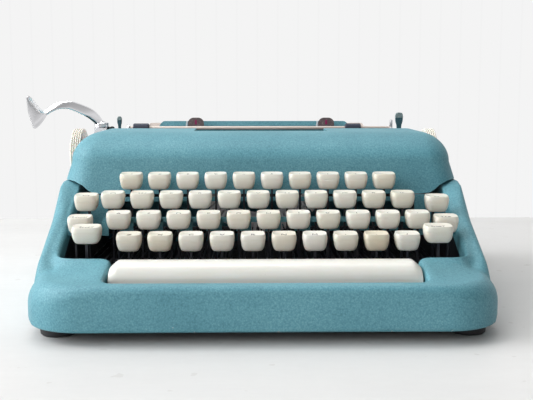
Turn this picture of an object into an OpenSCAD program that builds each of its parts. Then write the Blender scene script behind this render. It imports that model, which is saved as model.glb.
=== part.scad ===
// Portable manual typewriter: a painted shell round a keyboard of levers,
// a hinged ribbon cover, a sliding carriage with platen, and a basket of type bars.
// Millimetres. X to the right, Y to the back, Z up from the table, and the
// origin is the middle of the footprint.

/* [Keyboard] */
// Distance between two keys of a row
key_pitch = 19.05; // [18.5:0.05:20]
// Distance from one row of keys to the next, front to back
row_step = 19.05; // [18.6:0.05:21]
// How much higher each row stands than the row in front of it
row_rise = 10.8; // [9:0.1:12]
// Height of the front row's keytops above the table
front_row_z = 52.9; // [50:0.1:56]
// Greatest width of a keytop
key_w = 15.3; // [14:0.1:16.4]
// Greatest depth of a keytop, front to back
key_d = 12.8; // [11:0.1:13.2]
// Height of a keytop
key_h = 10.5; // [10:0.1:12.5]
// Tilt of the keytops towards the typist, in degrees
key_tilt = 4.5; // [0:0.5:8]
// Width of a shift keytop
shift_w = 17.9; // [17:0.1:19]
// How much higher a shift keytop stands than the front row
shift_lift = 4.7; // [3:0.1:6]
// Distance from the outermost typing keys' edge line to the outer keys' centre line
outer_gap = 10.5; // [10:0.1:13]
// Distance of the shift keys in from that centre line
shift_in = 7.1; // [6:0.1:8]
// Depth of the dish in a keytop
key_dish = 1.1; // [0.4:0.1:1.6]
// Length of the space bar
space_bar_l = 181; // [170:1:186]
// How far the space bar and its slot stand to the right of the middle
bar_offset = 1.1; // [0:0.1:2]
// Depth of the space bar, front to back
space_bar_d = 17; // [12:0.5:17]
// Height of the space bar
space_bar_h = 14.5; // [12:0.5:16]
// Distance from the front row's centre line to the space bar's back
space_bar_gap = 22; // [17:0.5:22]

/* [Levers] */
// Thickness of a key lever
lever_t = 1.2; // [0.8:0.1:1.4]
// Height of a key lever's bar
lever_h = 5; // [4:0.25:6]
// Width of a key's upright stem
stem_w = 4; // [3:0.25:4.5]
// Height of the levers' centre line at the front
lever_z = 22; // [20.5:0.25:23]
// Radius of the rod that the levers turn on
fulcrum_r = 2; // [1.5:0.1:2.5]
// Height of that rod
fulcrum_z = 25; // [23:0.25:26]
// Distance of that rod in front of the housing's back
fulcrum_inset = 35; // [30:0.5:38]

/* [Housing] */
// Distance from the front row's centre line to the housing's front
front_margin = 62.3; // [58:0.1:68]
// Width of the painted rim at each side of the keyboard
rim_w = 14.3; // [12:0.1:17]
// Gap between an outer keytop and the rim
rim_gap = 2.1; // [1:0.1:4]
// How much narrower each side of the housing is at its front than at the cover
side_taper = 2.4; // [0:0.2:4]
// Wall thickness of the painted shells
wall = 1.6; // [1.2:0.1:2]
// Radius of the housing's front corners, seen from above
front_corner_r = 34; // [26:1:40]
// Radius of the housing's back corners, seen from above
back_corner_r = 22; // [16:1:28]
// Gap under the housing's lower edge
base_gap = 7; // [6:0.25:9]
// Height of the front deck at the keyboard opening
deck_z = 39.8; // [37:0.1:41]
// Height of the front deck at its front edge
apron_z = 32.5; // [31:0.1:35]
// Rise of the side rims per millimetre towards the back
rim_slope = 0.473; // [0.43:0.005:0.5]
// Height of the rims under the cover
shoulder_z = 78.3; // [76:0.1:80]
// Height of the housing's walls behind the cover
back_wall_z = 62; // [56:0.5:63]
// Corner radius of the keyboard opening
opening_r = 14; // [8:0.5:18]
// Length of the lip that turns down into the keyboard opening
lip_l = 11; // [8:0.5:12]
// Distance from the front row's centre line to the deck's edge in front of it
deck_edge_gap = 12.3; // [11:0.1:14]
// Thickness of the rolled edge in front of the space bar
apron_t = 13; // [10:0.5:16]
// Clearance at each end of the space bar
space_bar_end_gap = 1.2; // [0.8:0.1:3]
// Width of the flange turned in under the housing
flange_w = 7; // [5:0.5:9]
// Thickness of the base plate
base_t = 2; // [1.5:0.25:3]
// Thickness of the chassis' upright side plates
plate_t = 2; // [1.5:0.25:3]
// Height of the chassis' front cross plate
front_plate_z = 38.8; // [34:0.2:39]
// Height of the chassis' rear cross plate
rear_plate_z = 16.6; // [14:0.2:16.8]
// Distance of the rubber feet in from the front and the back
foot_inset = 27; // [24:1:34]

/* [Cover] */
// Depth of the cover, front to back
cover_d = 85; // [80:1:92]
// Height of the cover's top above the table
cover_top_z = 111.8; // [109:0.1:112]
// Height of the cover's front lower edge
cover_front_z = 69.8; // [68:0.1:71]
// Radius of the cover's front corners, seen from above
cover_corner_r = 22; // [18:1:28]
// Distance over which the front rolls over into the top
cover_front_roll = 43; // [34:1:46]
// Distance over which the sides roll over into the top
cover_side_roll = 24; // [16:1:26]
// Height at which the cover's walls start to roll over
cover_roll_z = 91; // [86:0.5:94]
// How far the cover's walls lean in up to that height
cover_lean = 5.2; // [1:0.2:6]
// Gap between the cover and the housing
cover_gap = 0.6; // [0.4:0.1:1]
// Distance from the back row's centre line to the cover's front
cover_front_gap = 12.5; // [11:0.1:14]
// Half the width of the notch in the cover's back edge
notch_half = 50; // [40:1:56]
// Depth of that notch
notch_d = 17; // [10:0.5:20]
// Half the distance between the cover's hinges
hinge_x = 105; // [96:1:108]
// Radius of the cover's hinge pins
pin_r = 1.5; // [1:0.1:2]

/* [Carriage] */
// Distance from the cover's back edge to the platen's axis
platen_gap = 23; // [22.5:0.1:24]
// Distance from the platen's axis to the housing's back
platen_to_back = 50; // [48:0.5:60]
// Height of the platen's axis
platen_z = 92; // [90:0.25:93]
// Radius of the platen
platen_r = 16; // [14:0.25:17]
// Length of the platen's rubber roller
platen_l = 236; // [220:1:238]
// Radius of the platen knobs
knob_r = 20; // [18:0.25:20.5]
// Length of a platen knob
knob_l = 10.7; // [9:0.1:13]
// Radius of the platen shaft
shaft_r = 4; // [3:0.1:5]
// How far the carriage bed reaches past each end of the platen
bed_overhang = 8; // [6:0.5:9]
// Thickness of the carriage's end plates
end_plate_t = 3; // [2:0.25:4]
// Length of the bush between the left end plate and the left knob
bush_l = 19.8; // [16:0.2:24]
// Length of the hood over each end of the carriage
hood_l = 11.5; // [8:0.5:12]
// Left end of the paper table
table_x0 = -86; // [-92:1:-80]
// Right end of the paper table
table_x1 = 77; // [72:1:84]
// Height of the paper table's top edge above the platen's axis
table_rise = 24.9; // [22:0.1:26]
// Places of the two margin stops
stop_x = [-54, 56.5];
// Places of the two paper rollers on the bail
roller_x = [-96, 77];
// Radius of those rollers
roller_r = 3.7; // [3:0.1:4.5]
// Distance from the platen's axis back to the bail's pivot
bail_back = 23; // [22:0.25:25]
// Distance from each of the bail's arms out to the end plate beside it
bail_inset = 10; // [9:0.5:20]

/* [Type basket] */
// Number of type bars
type_bars = 42; // [30:1:44]
// Radius of the arc on which the type bars are hung
basket_r = 50; // [46:0.5:51]
// Half the angle of that arc, in degrees
basket_half_angle = 75; // [60:1:78]
// Length of a type bar
type_bar_l = 50; // [44:0.5:52]
// Drop of the basket when shift is pressed
shift_drop = 6; // [4:0.25:6]
// Thickness of the segment that holds the type bars
segment_t = 8; // [6:0.5:9]
// Radius of the posts on which the basket slides
guide_r = 2; // [1.5:0.1:2.4]
// Height of a ribbon spool
spool_h = 14; // [10:0.5:15]
// Radius of the posts under the ribbon spools
spool_post_r = 2.5; // [2:0.1:3]
// Radius of a ribbon spool
spool_r = 25; // [20:0.5:26]
// Half the distance between the ribbon spools
spool_half = 90; // [88:0.5:98]

/* [Fits] */
// Running clearance between a shaft and its hole, on the radius
run_gap = 0.05; // [0.02:0.01:0.08]

/* [Hidden] */
// Typing keys by row, front row first
ROWS = [
  ["key_z", "key_x", "key_c", "key_v", "key_b", "key_n", "key_m", "key_comma", "key_period", "key_slash"],
  ["key_a", "key_s", "key_d", "key_f", "key_g", "key_h", "key_j", "key_k", "key_l", "key_semicolon",
   "key_quote"],
  ["key_q", "key_w", "key_e", "key_r", "key_t", "key_y", "key_u", "key_i", "key_o", "key_p",
   "key_fraction"],
  ["key_2", "key_3", "key_4", "key_5", "key_6", "key_7", "key_8", "key_9", "key_0", "key_hyphen"]
];
// Where each row starts, in key pitches from the middle
ROW_START = [-4.325, -4.803, -5.14, -4.64];
TYPING_KEYS = [for (row = ROWS) for (name = row) name];
$fn = 32;

PAINT = [0.37, 0.57, 0.62];
CREAM = [0.86, 0.84, 0.78];
STEEL = [0.62, 0.63, 0.64];
CHROME = [0.82, 0.83, 0.85];
BLACK = [0.08, 0.08, 0.09];

// Front to back
body_d = front_margin + 3 * row_step + cover_front_gap + cover_d + platen_gap + platen_to_back;
front_y = -body_d / 2;
back_y = body_d / 2;
front_row_y = front_y + front_margin;
cover_front_y = front_row_y + 3 * row_step + cover_front_gap;
cover_back_y = cover_front_y + cover_d;
platen_y = cover_back_y + platen_gap;
fulcrum_y = back_y - fulcrum_inset;
opening_front_y = front_row_y - deck_edge_gap;
notch_front_y = front_y + apron_t;
bar_back_y = front_row_y - space_bar_gap;
bar_mid_y = bar_back_y - space_bar_d / 2;
side_front_y = opening_front_y + opening_r;

// Side to side
outer_x = 5.5 * key_pitch + outer_gap;
open_half = outer_x + key_w / 2 + rim_gap;
half_w = open_half + rim_w;
front_half_w = half_w - side_taper;
bar_notch_half = space_bar_l / 2 + space_bar_end_gap;
shift_x = outer_x - shift_in;
plate_x = open_half + 5.5;
arm_x = outer_x - 11.8;
foot_x = front_half_w - 18.4;

// Heights and rims
base_z = base_gap + wall + 0.3;
rail_top_z = back_wall_z + 5.7;
bed_z = rail_top_z + 0.3;
bed_t = 3;
deck_top = shoulder_z - lip_l - 1;
bar_top_z = front_row_z - 12;
bar_rod_z = bar_top_z - space_bar_h - 3;

// Ribbon and basket
spool_y = cover_front_y + 48;
guide_x = basket_r + 13;
ear_t = 4;
ear_z = deck_top + shift_drop + 6.6;
basket_y = platen_y - platen_r - 15;
basket_z = platen_z;

// Cover's hinge, carriage rails and carriage
cover_half = half_w - 0.3;
hinge_y = cover_back_y - 2;
hinge_z = cover_top_z - 7;
rail_front_y = platen_y - 9;
rail_back_y = platen_y + 19;
end_x = platen_l / 2 + 2;
carriage_l = platen_l + 2 * bed_overhang;
bail_half = end_x - bail_inset;
bail_y = platen_y + bail_back;
bail_z = platen_z + 8;
pivot_x = -end_x - 9;
lever_seat_z = platen_z + 20.9;
left_knob_x = end_x + bush_l + 1;
right_knob_x = end_x + hood_l + 0.8;
table_top_z = platen_z + table_rise;

function lerp(a, b, t) = a + (b - a) * t;
function clamp(t) = min(1, max(0, t));
function smax(a, b, k) = k * ln(exp((a - b) / k) + 1) + b;
function smin(a, b, k) = -smax(-a, -b, k);
function arc(c, r, a0, a1, n) = [for (i = [0:n - 1]) let (a = lerp(a0, a1, i / (n - 1)))
  [c[0] + r * cos(a), c[1] + r * sin(a)]];
function line(p, q, n) = [for (i = [0:n - 1]) lerp(p, q, i / n)];
function row_y(r) = front_row_y + r * row_step;
function row_z(r) = front_row_z + r * row_rise;
function key_x(r, i) = (ROW_START[r] + i) * key_pitch;
function lever_centre_z(y) = lerp(lever_z, fulcrum_z, (y - front_row_y) / (fulcrum_y - front_row_y));

// Height of the rim's crest and of its inner edge, by depth
function crest_z(y) = smin(smax(deck_z + 4 + rim_slope * (y - side_front_y), apron_z, 1.5), shoulder_z, 1.2);
function edge_z(y) = smin(smax(deck_z + 1.4 + rim_slope * (y - side_front_y), deck_z, 1), shoulder_z, 1.2);

// Extrudes a (y, z) outline along x, from x on, t thick
module side_plate(x, t) {
  translate([x, 0, 0]) rotate([90, 0, 90]) linear_extrude(t) children();
}

// Extrudes an (x, z) outline along y, from y on, t thick
module front_plate(y, t) {
  translate([0, y + t, 0]) rotate([90, 0, 0]) linear_extrude(t) children();
}

// A round bar along x between two places
module cross_rod(x0, x1, y, z, r) {
  translate([x0, y, z]) rotate([0, 90, 0]) cylinder(h = x1 - x0, r = r);
}

// A closed skin round a stack of equally long rings, the first and last ring capped
module loft(rings) {
  n = len(rings[0]);
  m = len(rings);
  polyhedron(
    points = [for (ring = rings) for (p = ring) p],
    faces = concat(
      [[for (i = [0:n - 1]) i]],
      [[for (i = [n - 1:-1:0]) (m - 1) * n + i]],
      [for (j = [0:m - 2]) for (i = [0:n - 1]) let (k = (i + 1) % n)
        [j * n + i, (j + 1) * n + i, (j + 1) * n + k, j * n + k]]
    )
  );
}

// ---------------------------------------------------------------- keys

// Size of a keytop at rising heights, as a share of its height and of its width
KEYTOP_PROFILE = [[0, 0.6], [0.16, 0.82], [0.62, 1], [1, 0.88]];

// A rounded tub, its top dished, standing on z = 0
module keytop(w, d, h) {
  n = 12;
  sides = 3.4;
  function bow(v) = sign(v) * pow(abs(v), 2 / sides);
  ring_points = [for (s = KEYTOP_PROFILE) for (i = [0:n - 1]) let (a = (i + 0.5) * 360 / n)
    [w / 2 * s[1] * bow(cos(a)), d / 2 * s[1] * bow(sin(a)), h * s[0]]];
  m = len(KEYTOP_PROFILE);
  color(CREAM) polyhedron(
    points = concat(ring_points, [[0, 0, h - key_dish]]),
    faces = concat(
      [[for (i = [0:n - 1]) i]],
      [for (j = [0:m - 2]) for (i = [0:n - 1]) let (k = (i + 1) % n)
        [j * n + i, (j + 1) * n + i, (j + 1) * n + k, j * n + k]],
      [for (i = [0:n - 1]) [(m - 1) * n + i, m * n, (m - 1) * n + (i + 1) % n]]
    )
  );
}

// A lever of flat strip: an upright stem under the keytop, a bar, and an eye on the fulcrum rod
module lever(x, y, stem_top, t, reach = 0) {
  z = lever_centre_z(y);
  half = lever_h / 2;
  eye = fulcrum_r + 2.2;
  color(STEEL) difference() {
    union() {
      side_plate(x - t / 2, t) polygon([
        [y - stem_w / 2, stem_top], [y - stem_w / 2, z - half], [fulcrum_y, fulcrum_z - half],
        [fulcrum_y + reach, fulcrum_z - half], [fulcrum_y + reach, fulcrum_z + half],
        [fulcrum_y, fulcrum_z + half], [y + stem_w / 2, z + half], [y + stem_w / 2, stem_top]
      ]);
      cross_rod(x - t / 2, x + t / 2, fulcrum_y, fulcrum_z, eye);
    }
    cross_rod(x - t, x + t, fulcrum_y, fulcrum_z, fulcrum_r + run_gap);
  }
}

// A keytop on its lever; stem_x lets the lever stand off the keytop's middle
module lever_key(x, y, z, stem_x, w = key_w, t = lever_t, reach = 0) {
  translate([x, y, z]) rotate([key_tilt, 0, 0]) translate([0, 0, -key_h]) keytop(w, key_d, key_h);
  lever(stem_x, y, z - key_h + 2, t, reach);
}

module typing_key(r, i) {
  lever_key(key_x(r, i), row_y(r), row_z(r), key_x(r, i));
}

module shift_lock_key() {
  lever_key(-outer_x, lock_y, lock_z, -outer_x - 2.7);
}

module margin_release_key() {
  lever_key(-outer_x, row_y(2), row_z(2) - 1.5, -outer_x + 1.8);
}

module backspace_key() {
  lever_key(outer_x, row_y(2), row_z(2) - 2.5, outer_x - 2.3);
}

module tabulator_key() {
  lever_key(outer_x + 1.2, lock_y, lock_z, outer_x + 2.7);
}

lock_y = row_y(1) - 2.9;
lock_z = row_z(1) - 2.2;

// Both shift keys are one piece: two levers joined by a rod behind the fulcrum
module shift_keys() {
  z = front_row_z + shift_lift;
  reach = 14;
  for (side = [-1, 1]) lever_key(side * shift_x, front_row_y, z, side * shift_x, shift_w, 1.6, reach);
  color(STEEL) cross_rod(-shift_x, shift_x, fulcrum_y + reach - 1, fulcrum_z, 2);
}

// The bar's outline from the side: flat back and bottom, rounded over at the front and top
module space_bar_profile() {
  r = space_bar_h * 0.72;
  front = bar_back_y - space_bar_d;
  polygon(concat(
    [[bar_back_y, bar_top_z - space_bar_h], [bar_back_y, bar_top_z - 1.2], [bar_back_y - 1.2, bar_top_z]],
    [for (a = [90:10:170]) [front + r + r * cos(a), bar_top_z - r + r * sin(a)]],
    [[front, bar_top_z - space_bar_h + 1], [front + 1, bar_top_z - space_bar_h]]
  ));
}

module space_bar() {
  half = space_bar_l / 2;
  chamfer = 3.5;
  bracket_x = space_bar_l * 0.36;
  color(CREAM) translate([bar_offset, 0, 0]) intersection() {
    side_plate(-half, space_bar_l) space_bar_profile();
    front_plate(bar_back_y - 2 * space_bar_d, 3 * space_bar_d) polygon([
      [-half, bar_top_z - 2 * space_bar_h], [half, bar_top_z - 2 * space_bar_h],
      [half, bar_top_z - chamfer * 1.4], [half - chamfer, bar_top_z],
      [chamfer - half, bar_top_z], [-half, bar_top_z - chamfer * 1.4]
    ]);
  }
  color(STEEL) {
    cross_rod(-arm_x, arm_x, bar_mid_y, bar_rod_z, 2);
    for (side = [-1, 1]) {
      translate([side * bracket_x - 4, bar_mid_y - 1, bar_rod_z]) cube([8, 2, bar_top_z - space_bar_h - bar_rod_z]);
      lever(side * arm_x, bar_mid_y, bar_rod_z + 1, 1.5);
    }
  }
}

// ---------------------------------------------------------------- lower housing

// Where a ray from the middle through q meets the front or side of the housing's plan
function outer_hit(q) = let (
    u = q / norm(q),
    cx = front_half_w - front_corner_r, cy = front_y + front_corner_r,
    xf = u[0] * front_y / u[1], ys = u[0] > 0 ? u[1] * front_half_w / u[0] : front_y * 10,
    b = u[0] * cx + u[1] * cy
  )
  xf <= cx ? [xf, front_y]
  : ys >= cy ? [front_half_w, ys]
  : u * (b + sqrt(b * b - cx * cx - cy * cy + front_corner_r * front_corner_r));

// A station of the rim: outer point, inner point, crest and edge height,
// width and height of the outer roll, radius of the inner roll, length of the lip
function front_station(q, e) = let (p = outer_hit(q), k = clamp((norm(q - p) - apron_t) / 8),
    c = clamp((p[0] - (front_half_w - front_corner_r)) / front_corner_r))
  [p, q, crest_z(p[1]), e, lerp(4, lerp(7, 13, c), k), lerp(4, lerp(7, 15, c), k), lerp(2, 3, k), 8];

// The outer roll beside the keys at t of the way back: it grows, then shrinks to meet the cover's wall
function side_roll(start, full, t) = t < 0.6 ? lerp(start, full, min(1, 2 * t)) : lerp(full, 1.6, (t - 0.6) / 0.4);

function side_inner_x(y) = open_half + 1.5 * clamp((y - side_front_y) / (cover_front_y - side_front_y));

function notch_edge_z(q) = lerp(apron_z, deck_z, clamp((q[1] - notch_front_y) / (opening_front_y - notch_front_y)));

// One half of the rim, from the front's middle round to the back's, with its end of the space bar's slot at x = e
function half_rim(e) = let (
    nf = 6, oc = 6,
    a = line([0, notch_front_y], [e - nf, notch_front_y], 5),
    b = arc([e - nf, notch_front_y + nf], nf, -90, 0, 4),
    c = line([e, notch_front_y + nf + 7], [e, opening_front_y - oc], 2),
    d = arc([e + oc, opening_front_y - oc], oc, 180, 90, 4),
    f = arc([open_half - opening_r, side_front_y], opening_r, -90, 0, 6),
    front = [for (q = concat(a, b, c, d)) front_station(q, notch_edge_z(q))],
    corner = [for (q = f) front_station(q, edge_z(q[1]))],
    p_last = outer_hit(f[5]),
    side = [for (i = [1:6]) let (t = i / 6, yq = lerp(side_front_y, cover_front_y, t),
        yp = lerp(p_last[1], cover_front_y, t))
      [[lerp(p_last[0], half_w, t), yp], [side_inner_x(yq), yq], crest_z(yp), edge_z(yq),
       side_roll(corner[5][4], 7, t), side_roll(corner[5][5], 8, t), side_roll(3, 3, t), lip_l]],
    xi = open_half + 1.5,
    covered = [for (t = [0.2, 0.5, 1]) let (y = lerp(cover_front_y, cover_back_y - 0.5, t))
      [[half_w, y], [xi, y], crest_z(y), edge_z(y), 1.6, 1.6, 1.6, lip_l]],
    bay = [for (y = [cover_back_y + 1, (cover_back_y + back_y) / 2, back_y - back_corner_r])
      [[half_w, y], [xi, min(y, back_y - back_corner_r)], back_wall_z, back_wall_z, 4, 4, 2, 5]],
    pb = arc([half_w - back_corner_r, back_y - back_corner_r], back_corner_r, 0, 90, 5),
    ri = back_corner_r - 10,
    qb = arc([xi - ri, back_y - 10 - ri], ri, 0, 90, 5),
    back = [for (i = [1:4]) [pb[i], qb[i], back_wall_z, back_wall_z, 4, 4, 2, 5]],
    mid = [for (t = [0.5, 1]) [[lerp(pb[4][0], 0, t), back_y], [lerp(qb[4][0], 0, t), back_y - 10],
      back_wall_z, back_wall_z, 4, 4, 2, 5]]
  ) concat(front, corner, side, covered, bay, back, mid);

function mirrored(s) = [[-s[0][0], s[0][1]], [-s[1][0], s[1][1]], s[2], s[3], s[4], s[5], s[6], s[7]];

// The rim's closed outline at one station: up the outer wall, over the crest,
// down the lip, and back along the inside one wall thickness in
function rim_section(s) = let (
    p = s[0], q = s[1], zc = s[2], ze = s[3], rh = s[4], rv = s[5], ri = s[6], lip = s[7],
    l = norm(q - p), u = (q - p) / l, z0 = base_gap, w = wall, f = flange_w
  )
  [for (v = [
    [f, z0], [0.8, z0 + 0.5], [0, z0 + 3.2], [0, zc - rv],
    [rh * (1 - cos(30)), zc - rv * (1 - sin(30))], [rh * (1 - cos(60)), zc - rv * (1 - sin(60))], [rh, zc],
    [l - ri, ze], [l - 0.3 * ri, ze - 0.3 * ri], [l, ze - ri], [l, ze - lip],
    [l - w, ze - lip], [l - w, ze - ri - 0.5 * w], [l - ri - 0.4 * w, ze - w],
    [rh + 0.4 * w, zc - w], [0.29 * rh + 0.8 * w, zc - 0.3 * rv - 0.6 * w],
    [w, zc - rv], [w, z0 + w], [f, z0 + w]
  ]) [p[0] + u[0] * v[0], p[1] + u[1] * v[0], v[1]]];

module shell_ring() {
  right = half_rim(bar_notch_half + bar_offset);
  left = half_rim(bar_notch_half - bar_offset);
  stations = concat(right, [for (i = [len(left) - 2:-1:1]) mirrored(left[i])]);
  rings = [for (s = stations) rim_section(s)];
  n = len(rings[0]);
  m = len(rings);
  polyhedron(
    points = [for (ring = rings) for (p = ring) p],
    faces = [for (j = [0:m - 1]) for (i = [0:n - 1]) let (k = (i + 1) % n, l = (j + 1) % m)
      [j * n + i, j * n + k, l * n + k, l * n + i]]
  );
}

// A painted plate under the cover's front edge, and a comb that closes the view behind the second row of keys
module guard_plates() {
  reach = open_half + 1.5 + wall / 2;
  top = cover_front_z - 2;
  inner = outer_x - 9;
  front_plate(cover_front_y - 3, 1.5) polygon([
    [-reach, 41], [-reach, top + 1.5], [-inner, top + 1.5], [-inner, top], [inner, top], [inner, top + 1.5],
    [reach, top + 1.5], [reach, 41], [inner, 41], [inner, top - 2.8], [-inner, top - 2.8], [-inner, 41]
  ]);
  y = row_y(1) + key_d / 2 + 1.05;
  low = edge_z(y) - lip_l + 5.5;
  high = row_z(1) - 4.5;
  wing = key_w / 2 - key_x(1, 0);
  tooth = key_pitch - 9;
  front_plate(y, 1) {
    polygon([
      [-reach, low], [-wing, low], [-wing, high - 3.2], [wing, high - 3.2], [wing, low], [reach, low],
      [reach, low + 4.5], [wing + 6, low + 4.5], [wing + 3, high], [-wing - 3, high], [-wing - 6, low + 4.5],
      [-reach, low + 4.5]
    ]);
    for (i = [0:len(ROWS[2]) - 2]) translate([key_x(2, i + 0.5) - tooth / 2, high - 9]) square([tooth, 8]);
  }
}

module lower_housing() {
  color(PAINT) {
    shell_ring();
    guard_plates();
  }
}

// ---------------------------------------------------------------- chassis

// The housing's plan, set in from its outer face
module base_outline(inset) {
  fr = front_corner_r - inset;
  br = back_corner_r - inset;
  fx = front_half_w - front_corner_r;
  bx = half_w - back_corner_r;
  polygon(concat(
    arc([fx, front_y + front_corner_r], fr, -90, 0, 13), arc([bx, back_y - back_corner_r], br, 0, 90, 13),
    arc([-bx, back_y - back_corner_r], br, 90, 180, 13), arc([-fx, front_y + front_corner_r], fr, 180, 270, 13)
  ));
}

module base_frame() {
  w = 12;
  difference() {
    translate([0, 0, base_z]) linear_extrude(base_t) base_outline(wall + 0.6);
    translate([w - half_w, front_y + 40, base_z - 1]) cube([2 * (half_w - w), body_d - 80, base_t + 2]);
    for (x = [-foot_x, foot_x], y = [front_y + foot_inset, back_y - foot_inset])
      translate([x, y, base_z - 1]) cylinder(h = base_t + 2, r = 2.1);
  }
}

// Upright plates across the frame: one behind the space bar, cut away for the bar's two arms, and a low one
// under the type basket
module cross_plates() {
  web = base_z + base_t + 0.6;
  end = half_w - 10;
  wing = arm_x + 3;
  mid = bar_notch_half - bar_offset - 1.7;
  front_plate(opening_front_y, 1.5) polygon([
    [-end, base_z + 0.5], [end, base_z + 0.5], [end, web], [wing + 9, web], [wing + 9, 29], [wing, 29], [wing, web],
    [arm_x - 3, web], [arm_x - 3, 29], [mid, 29], [mid, front_plate_z], [-mid, front_plate_z], [-mid, 29],
    [3 - arm_x, 29], [3 - arm_x, web], [-wing, web], [-wing, 29], [-wing - 9, 29], [-wing - 9, web], [-end, web]
  ]);
  translate([-end, basket_y, base_z + 0.5]) cube([2 * end, 1.5, rear_plate_z - base_z - 0.5]);
}

// Upright side plates, cut to run under the rims and down behind the cover
module side_frames() {
  z0 = base_z + base_t;
  y0 = side_front_y - 10;
  outline = [
    [y0, z0], [y0, crest_z(y0) - 14], [cover_front_y - 12, crest_z(cover_front_y - 12) - 7],
    [cover_front_y + 10, deck_top], [cover_back_y - 4, deck_top],
    [cover_back_y - 2, back_wall_z - 4], [back_y - 18, back_wall_z - 4], [back_y - 18, z0]
  ];
  for (x = [-plate_x - plate_t, plate_x]) side_plate(x, plate_t) polygon(outline);
}

// Two rails that the carriage runs on, stepped down at their ends to pass under the housing's lip
module rails() {
  low = back_wall_z - 8;
  for (y = [rail_front_y, rail_back_y]) {
    translate([-plate_x, y, low]) cube([2 * plate_x, 4, 2]);
    translate([1 - open_half, y, low]) cube([2 * open_half - 2, 4, rail_top_z - low]);
  }
  translate([-plate_x, rail_front_y, low]) cube([2 * plate_x, rail_back_y - rail_front_y + 4, 2]);
}

// Decks under the cover with the posts of the ribbon spools and of the type basket
module decks() {
  for (side = [-1, 1]) {
    x0 = basket_r + 8;
    translate([side > 0 ? x0 : -plate_x, spool_y - spool_r - 2, deck_top - 2])
      cube([plate_x - x0, basket_y - spool_y + spool_r + 4, 2]);
    translate([side * spool_half, spool_y, deck_top - 1]) cylinder(h = spool_h + 2, r = spool_post_r);
    translate([side * guide_x, basket_y - segment_t / 2, deck_top - 1])
      cylinder(h = ear_z + ear_t + 3 - deck_top, r = guide_r);
  }
}

// Posts at both sides with the eyes of the cover's hinge, each on a shelf from the side plate
module hinge_posts() {
  for (side = [-1, 1]) difference() {
    union() {
      translate([side * (hinge_x + 2) - 1, hinge_y - 3, back_wall_z - 8]) cube([2, 6, hinge_z - back_wall_z + 8]);
      translate([side > 0 ? hinge_x + 1 : -plate_x, hinge_y - 3, back_wall_z - 8])
        cube([plate_x - hinge_x - 1, 6, 2]);
      cross_rod(side * (hinge_x + 2) - 1, side * (hinge_x + 2) + 1, hinge_y, hinge_z, 3);
    }
    cross_rod(side * (hinge_x + 2) - 2, side * (hinge_x + 2) + 2, hinge_y, hinge_z, pin_r + run_gap);
  }
}

module chassis() {
  color(BLACK) {
    base_frame();
    side_frames();
    rails();
    decks();
    hinge_posts();
    cross_plates();
    cross_rod(-plate_x, plate_x, fulcrum_y, fulcrum_z, fulcrum_r);
  }
}

module rubber_feet() {
  color(BLACK) for (x = [-foot_x, foot_x], y = [front_y + foot_inset, back_y - foot_inset])
    translate([x, y, 0]) rotate_extrude() polygon([
      [0, 0], [9.4, 0], [10.4, 1], [11, base_gap - 0.8], [8.4, base_gap - 0.2], [8.4, base_z], [2, base_z],
      [2, base_z + base_t + 1], [0, base_z + base_t + 1]
    ]);
}

// ---------------------------------------------------------------- type basket and ribbon

module type_basket() {
  color(STEEL) {
    // The slotted segment, an arc of plate round the printing point
    translate([0, basket_y, basket_z]) rotate([90, 0, 0]) linear_extrude(segment_t) polygon(concat(
      arc([0, 0], basket_r + 6, -90 - basket_half_angle - 4, -90 + basket_half_angle + 4, 31),
      arc([0, 0], basket_r - 5, -90 + basket_half_angle + 4, -90 - basket_half_angle - 4, 31)
    ));
    // An ear at each end that slides on a guide post when the shift lowers the basket
    for (side = [-1, 1]) difference() {
      translate([side > 0 ? basket_r : -guide_x - 3.5, basket_y - segment_t, ear_z])
        cube([guide_x + 3.5 - basket_r, segment_t, ear_t]);
      translate([side * guide_x, basket_y - segment_t / 2, ear_z - 1])
        cylinder(h = ear_t + 2, r = guide_r + run_gap);
    }
    // Type bars lying forward from the segment, each with its type head
    for (i = [0:type_bars - 1]) {
      a = lerp(-basket_half_angle, basket_half_angle, i / (type_bars - 1));
      translate([0, basket_y - segment_t, basket_z]) rotate([0, -a, 0]) translate([0, 0, -basket_r]) {
        translate([-0.5, -type_bar_l, -2]) cube([1, type_bar_l + 1, 4]);
        translate([-1.1, -type_bar_l - 3, -2]) cube([2.2, 3, 8]);
      }
    }
  }
}

// Ribbon between the spools, led behind the segment and across in front of the platen
module ribbon() {
  half = concat(
    [[spool_half - 8, spool_y + 17], [guide_x + 2, basket_y + 8], [14, platen_y - platen_r - 2.5]]
  );
  front = concat(half, [for (i = [2:-1:0]) [-half[i][0], half[i][1]]]);
  back = [for (i = [5:-1:0]) front[i] + [0, 0.4]];
  translate([0, 0, deck_top + 1.3]) linear_extrude(spool_h - 2) polygon(concat(front, back));
}

module ribbon_spools() {
  color(BLACK) {
    for (side = [-1, 1]) translate([side * spool_half, spool_y, deck_top + 0.3]) difference() {
      union() {
        cylinder(h = 1, r = spool_r);
        cylinder(h = spool_h, r = 19);
        translate([0, 0, spool_h - 1]) cylinder(h = 1, r = spool_r);
      }
      translate([0, 0, -1]) cylinder(h = spool_h + 2, r = spool_post_r + run_gap);
    }
    ribbon();
  }
}

// ---------------------------------------------------------------- ribbon cover

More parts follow.
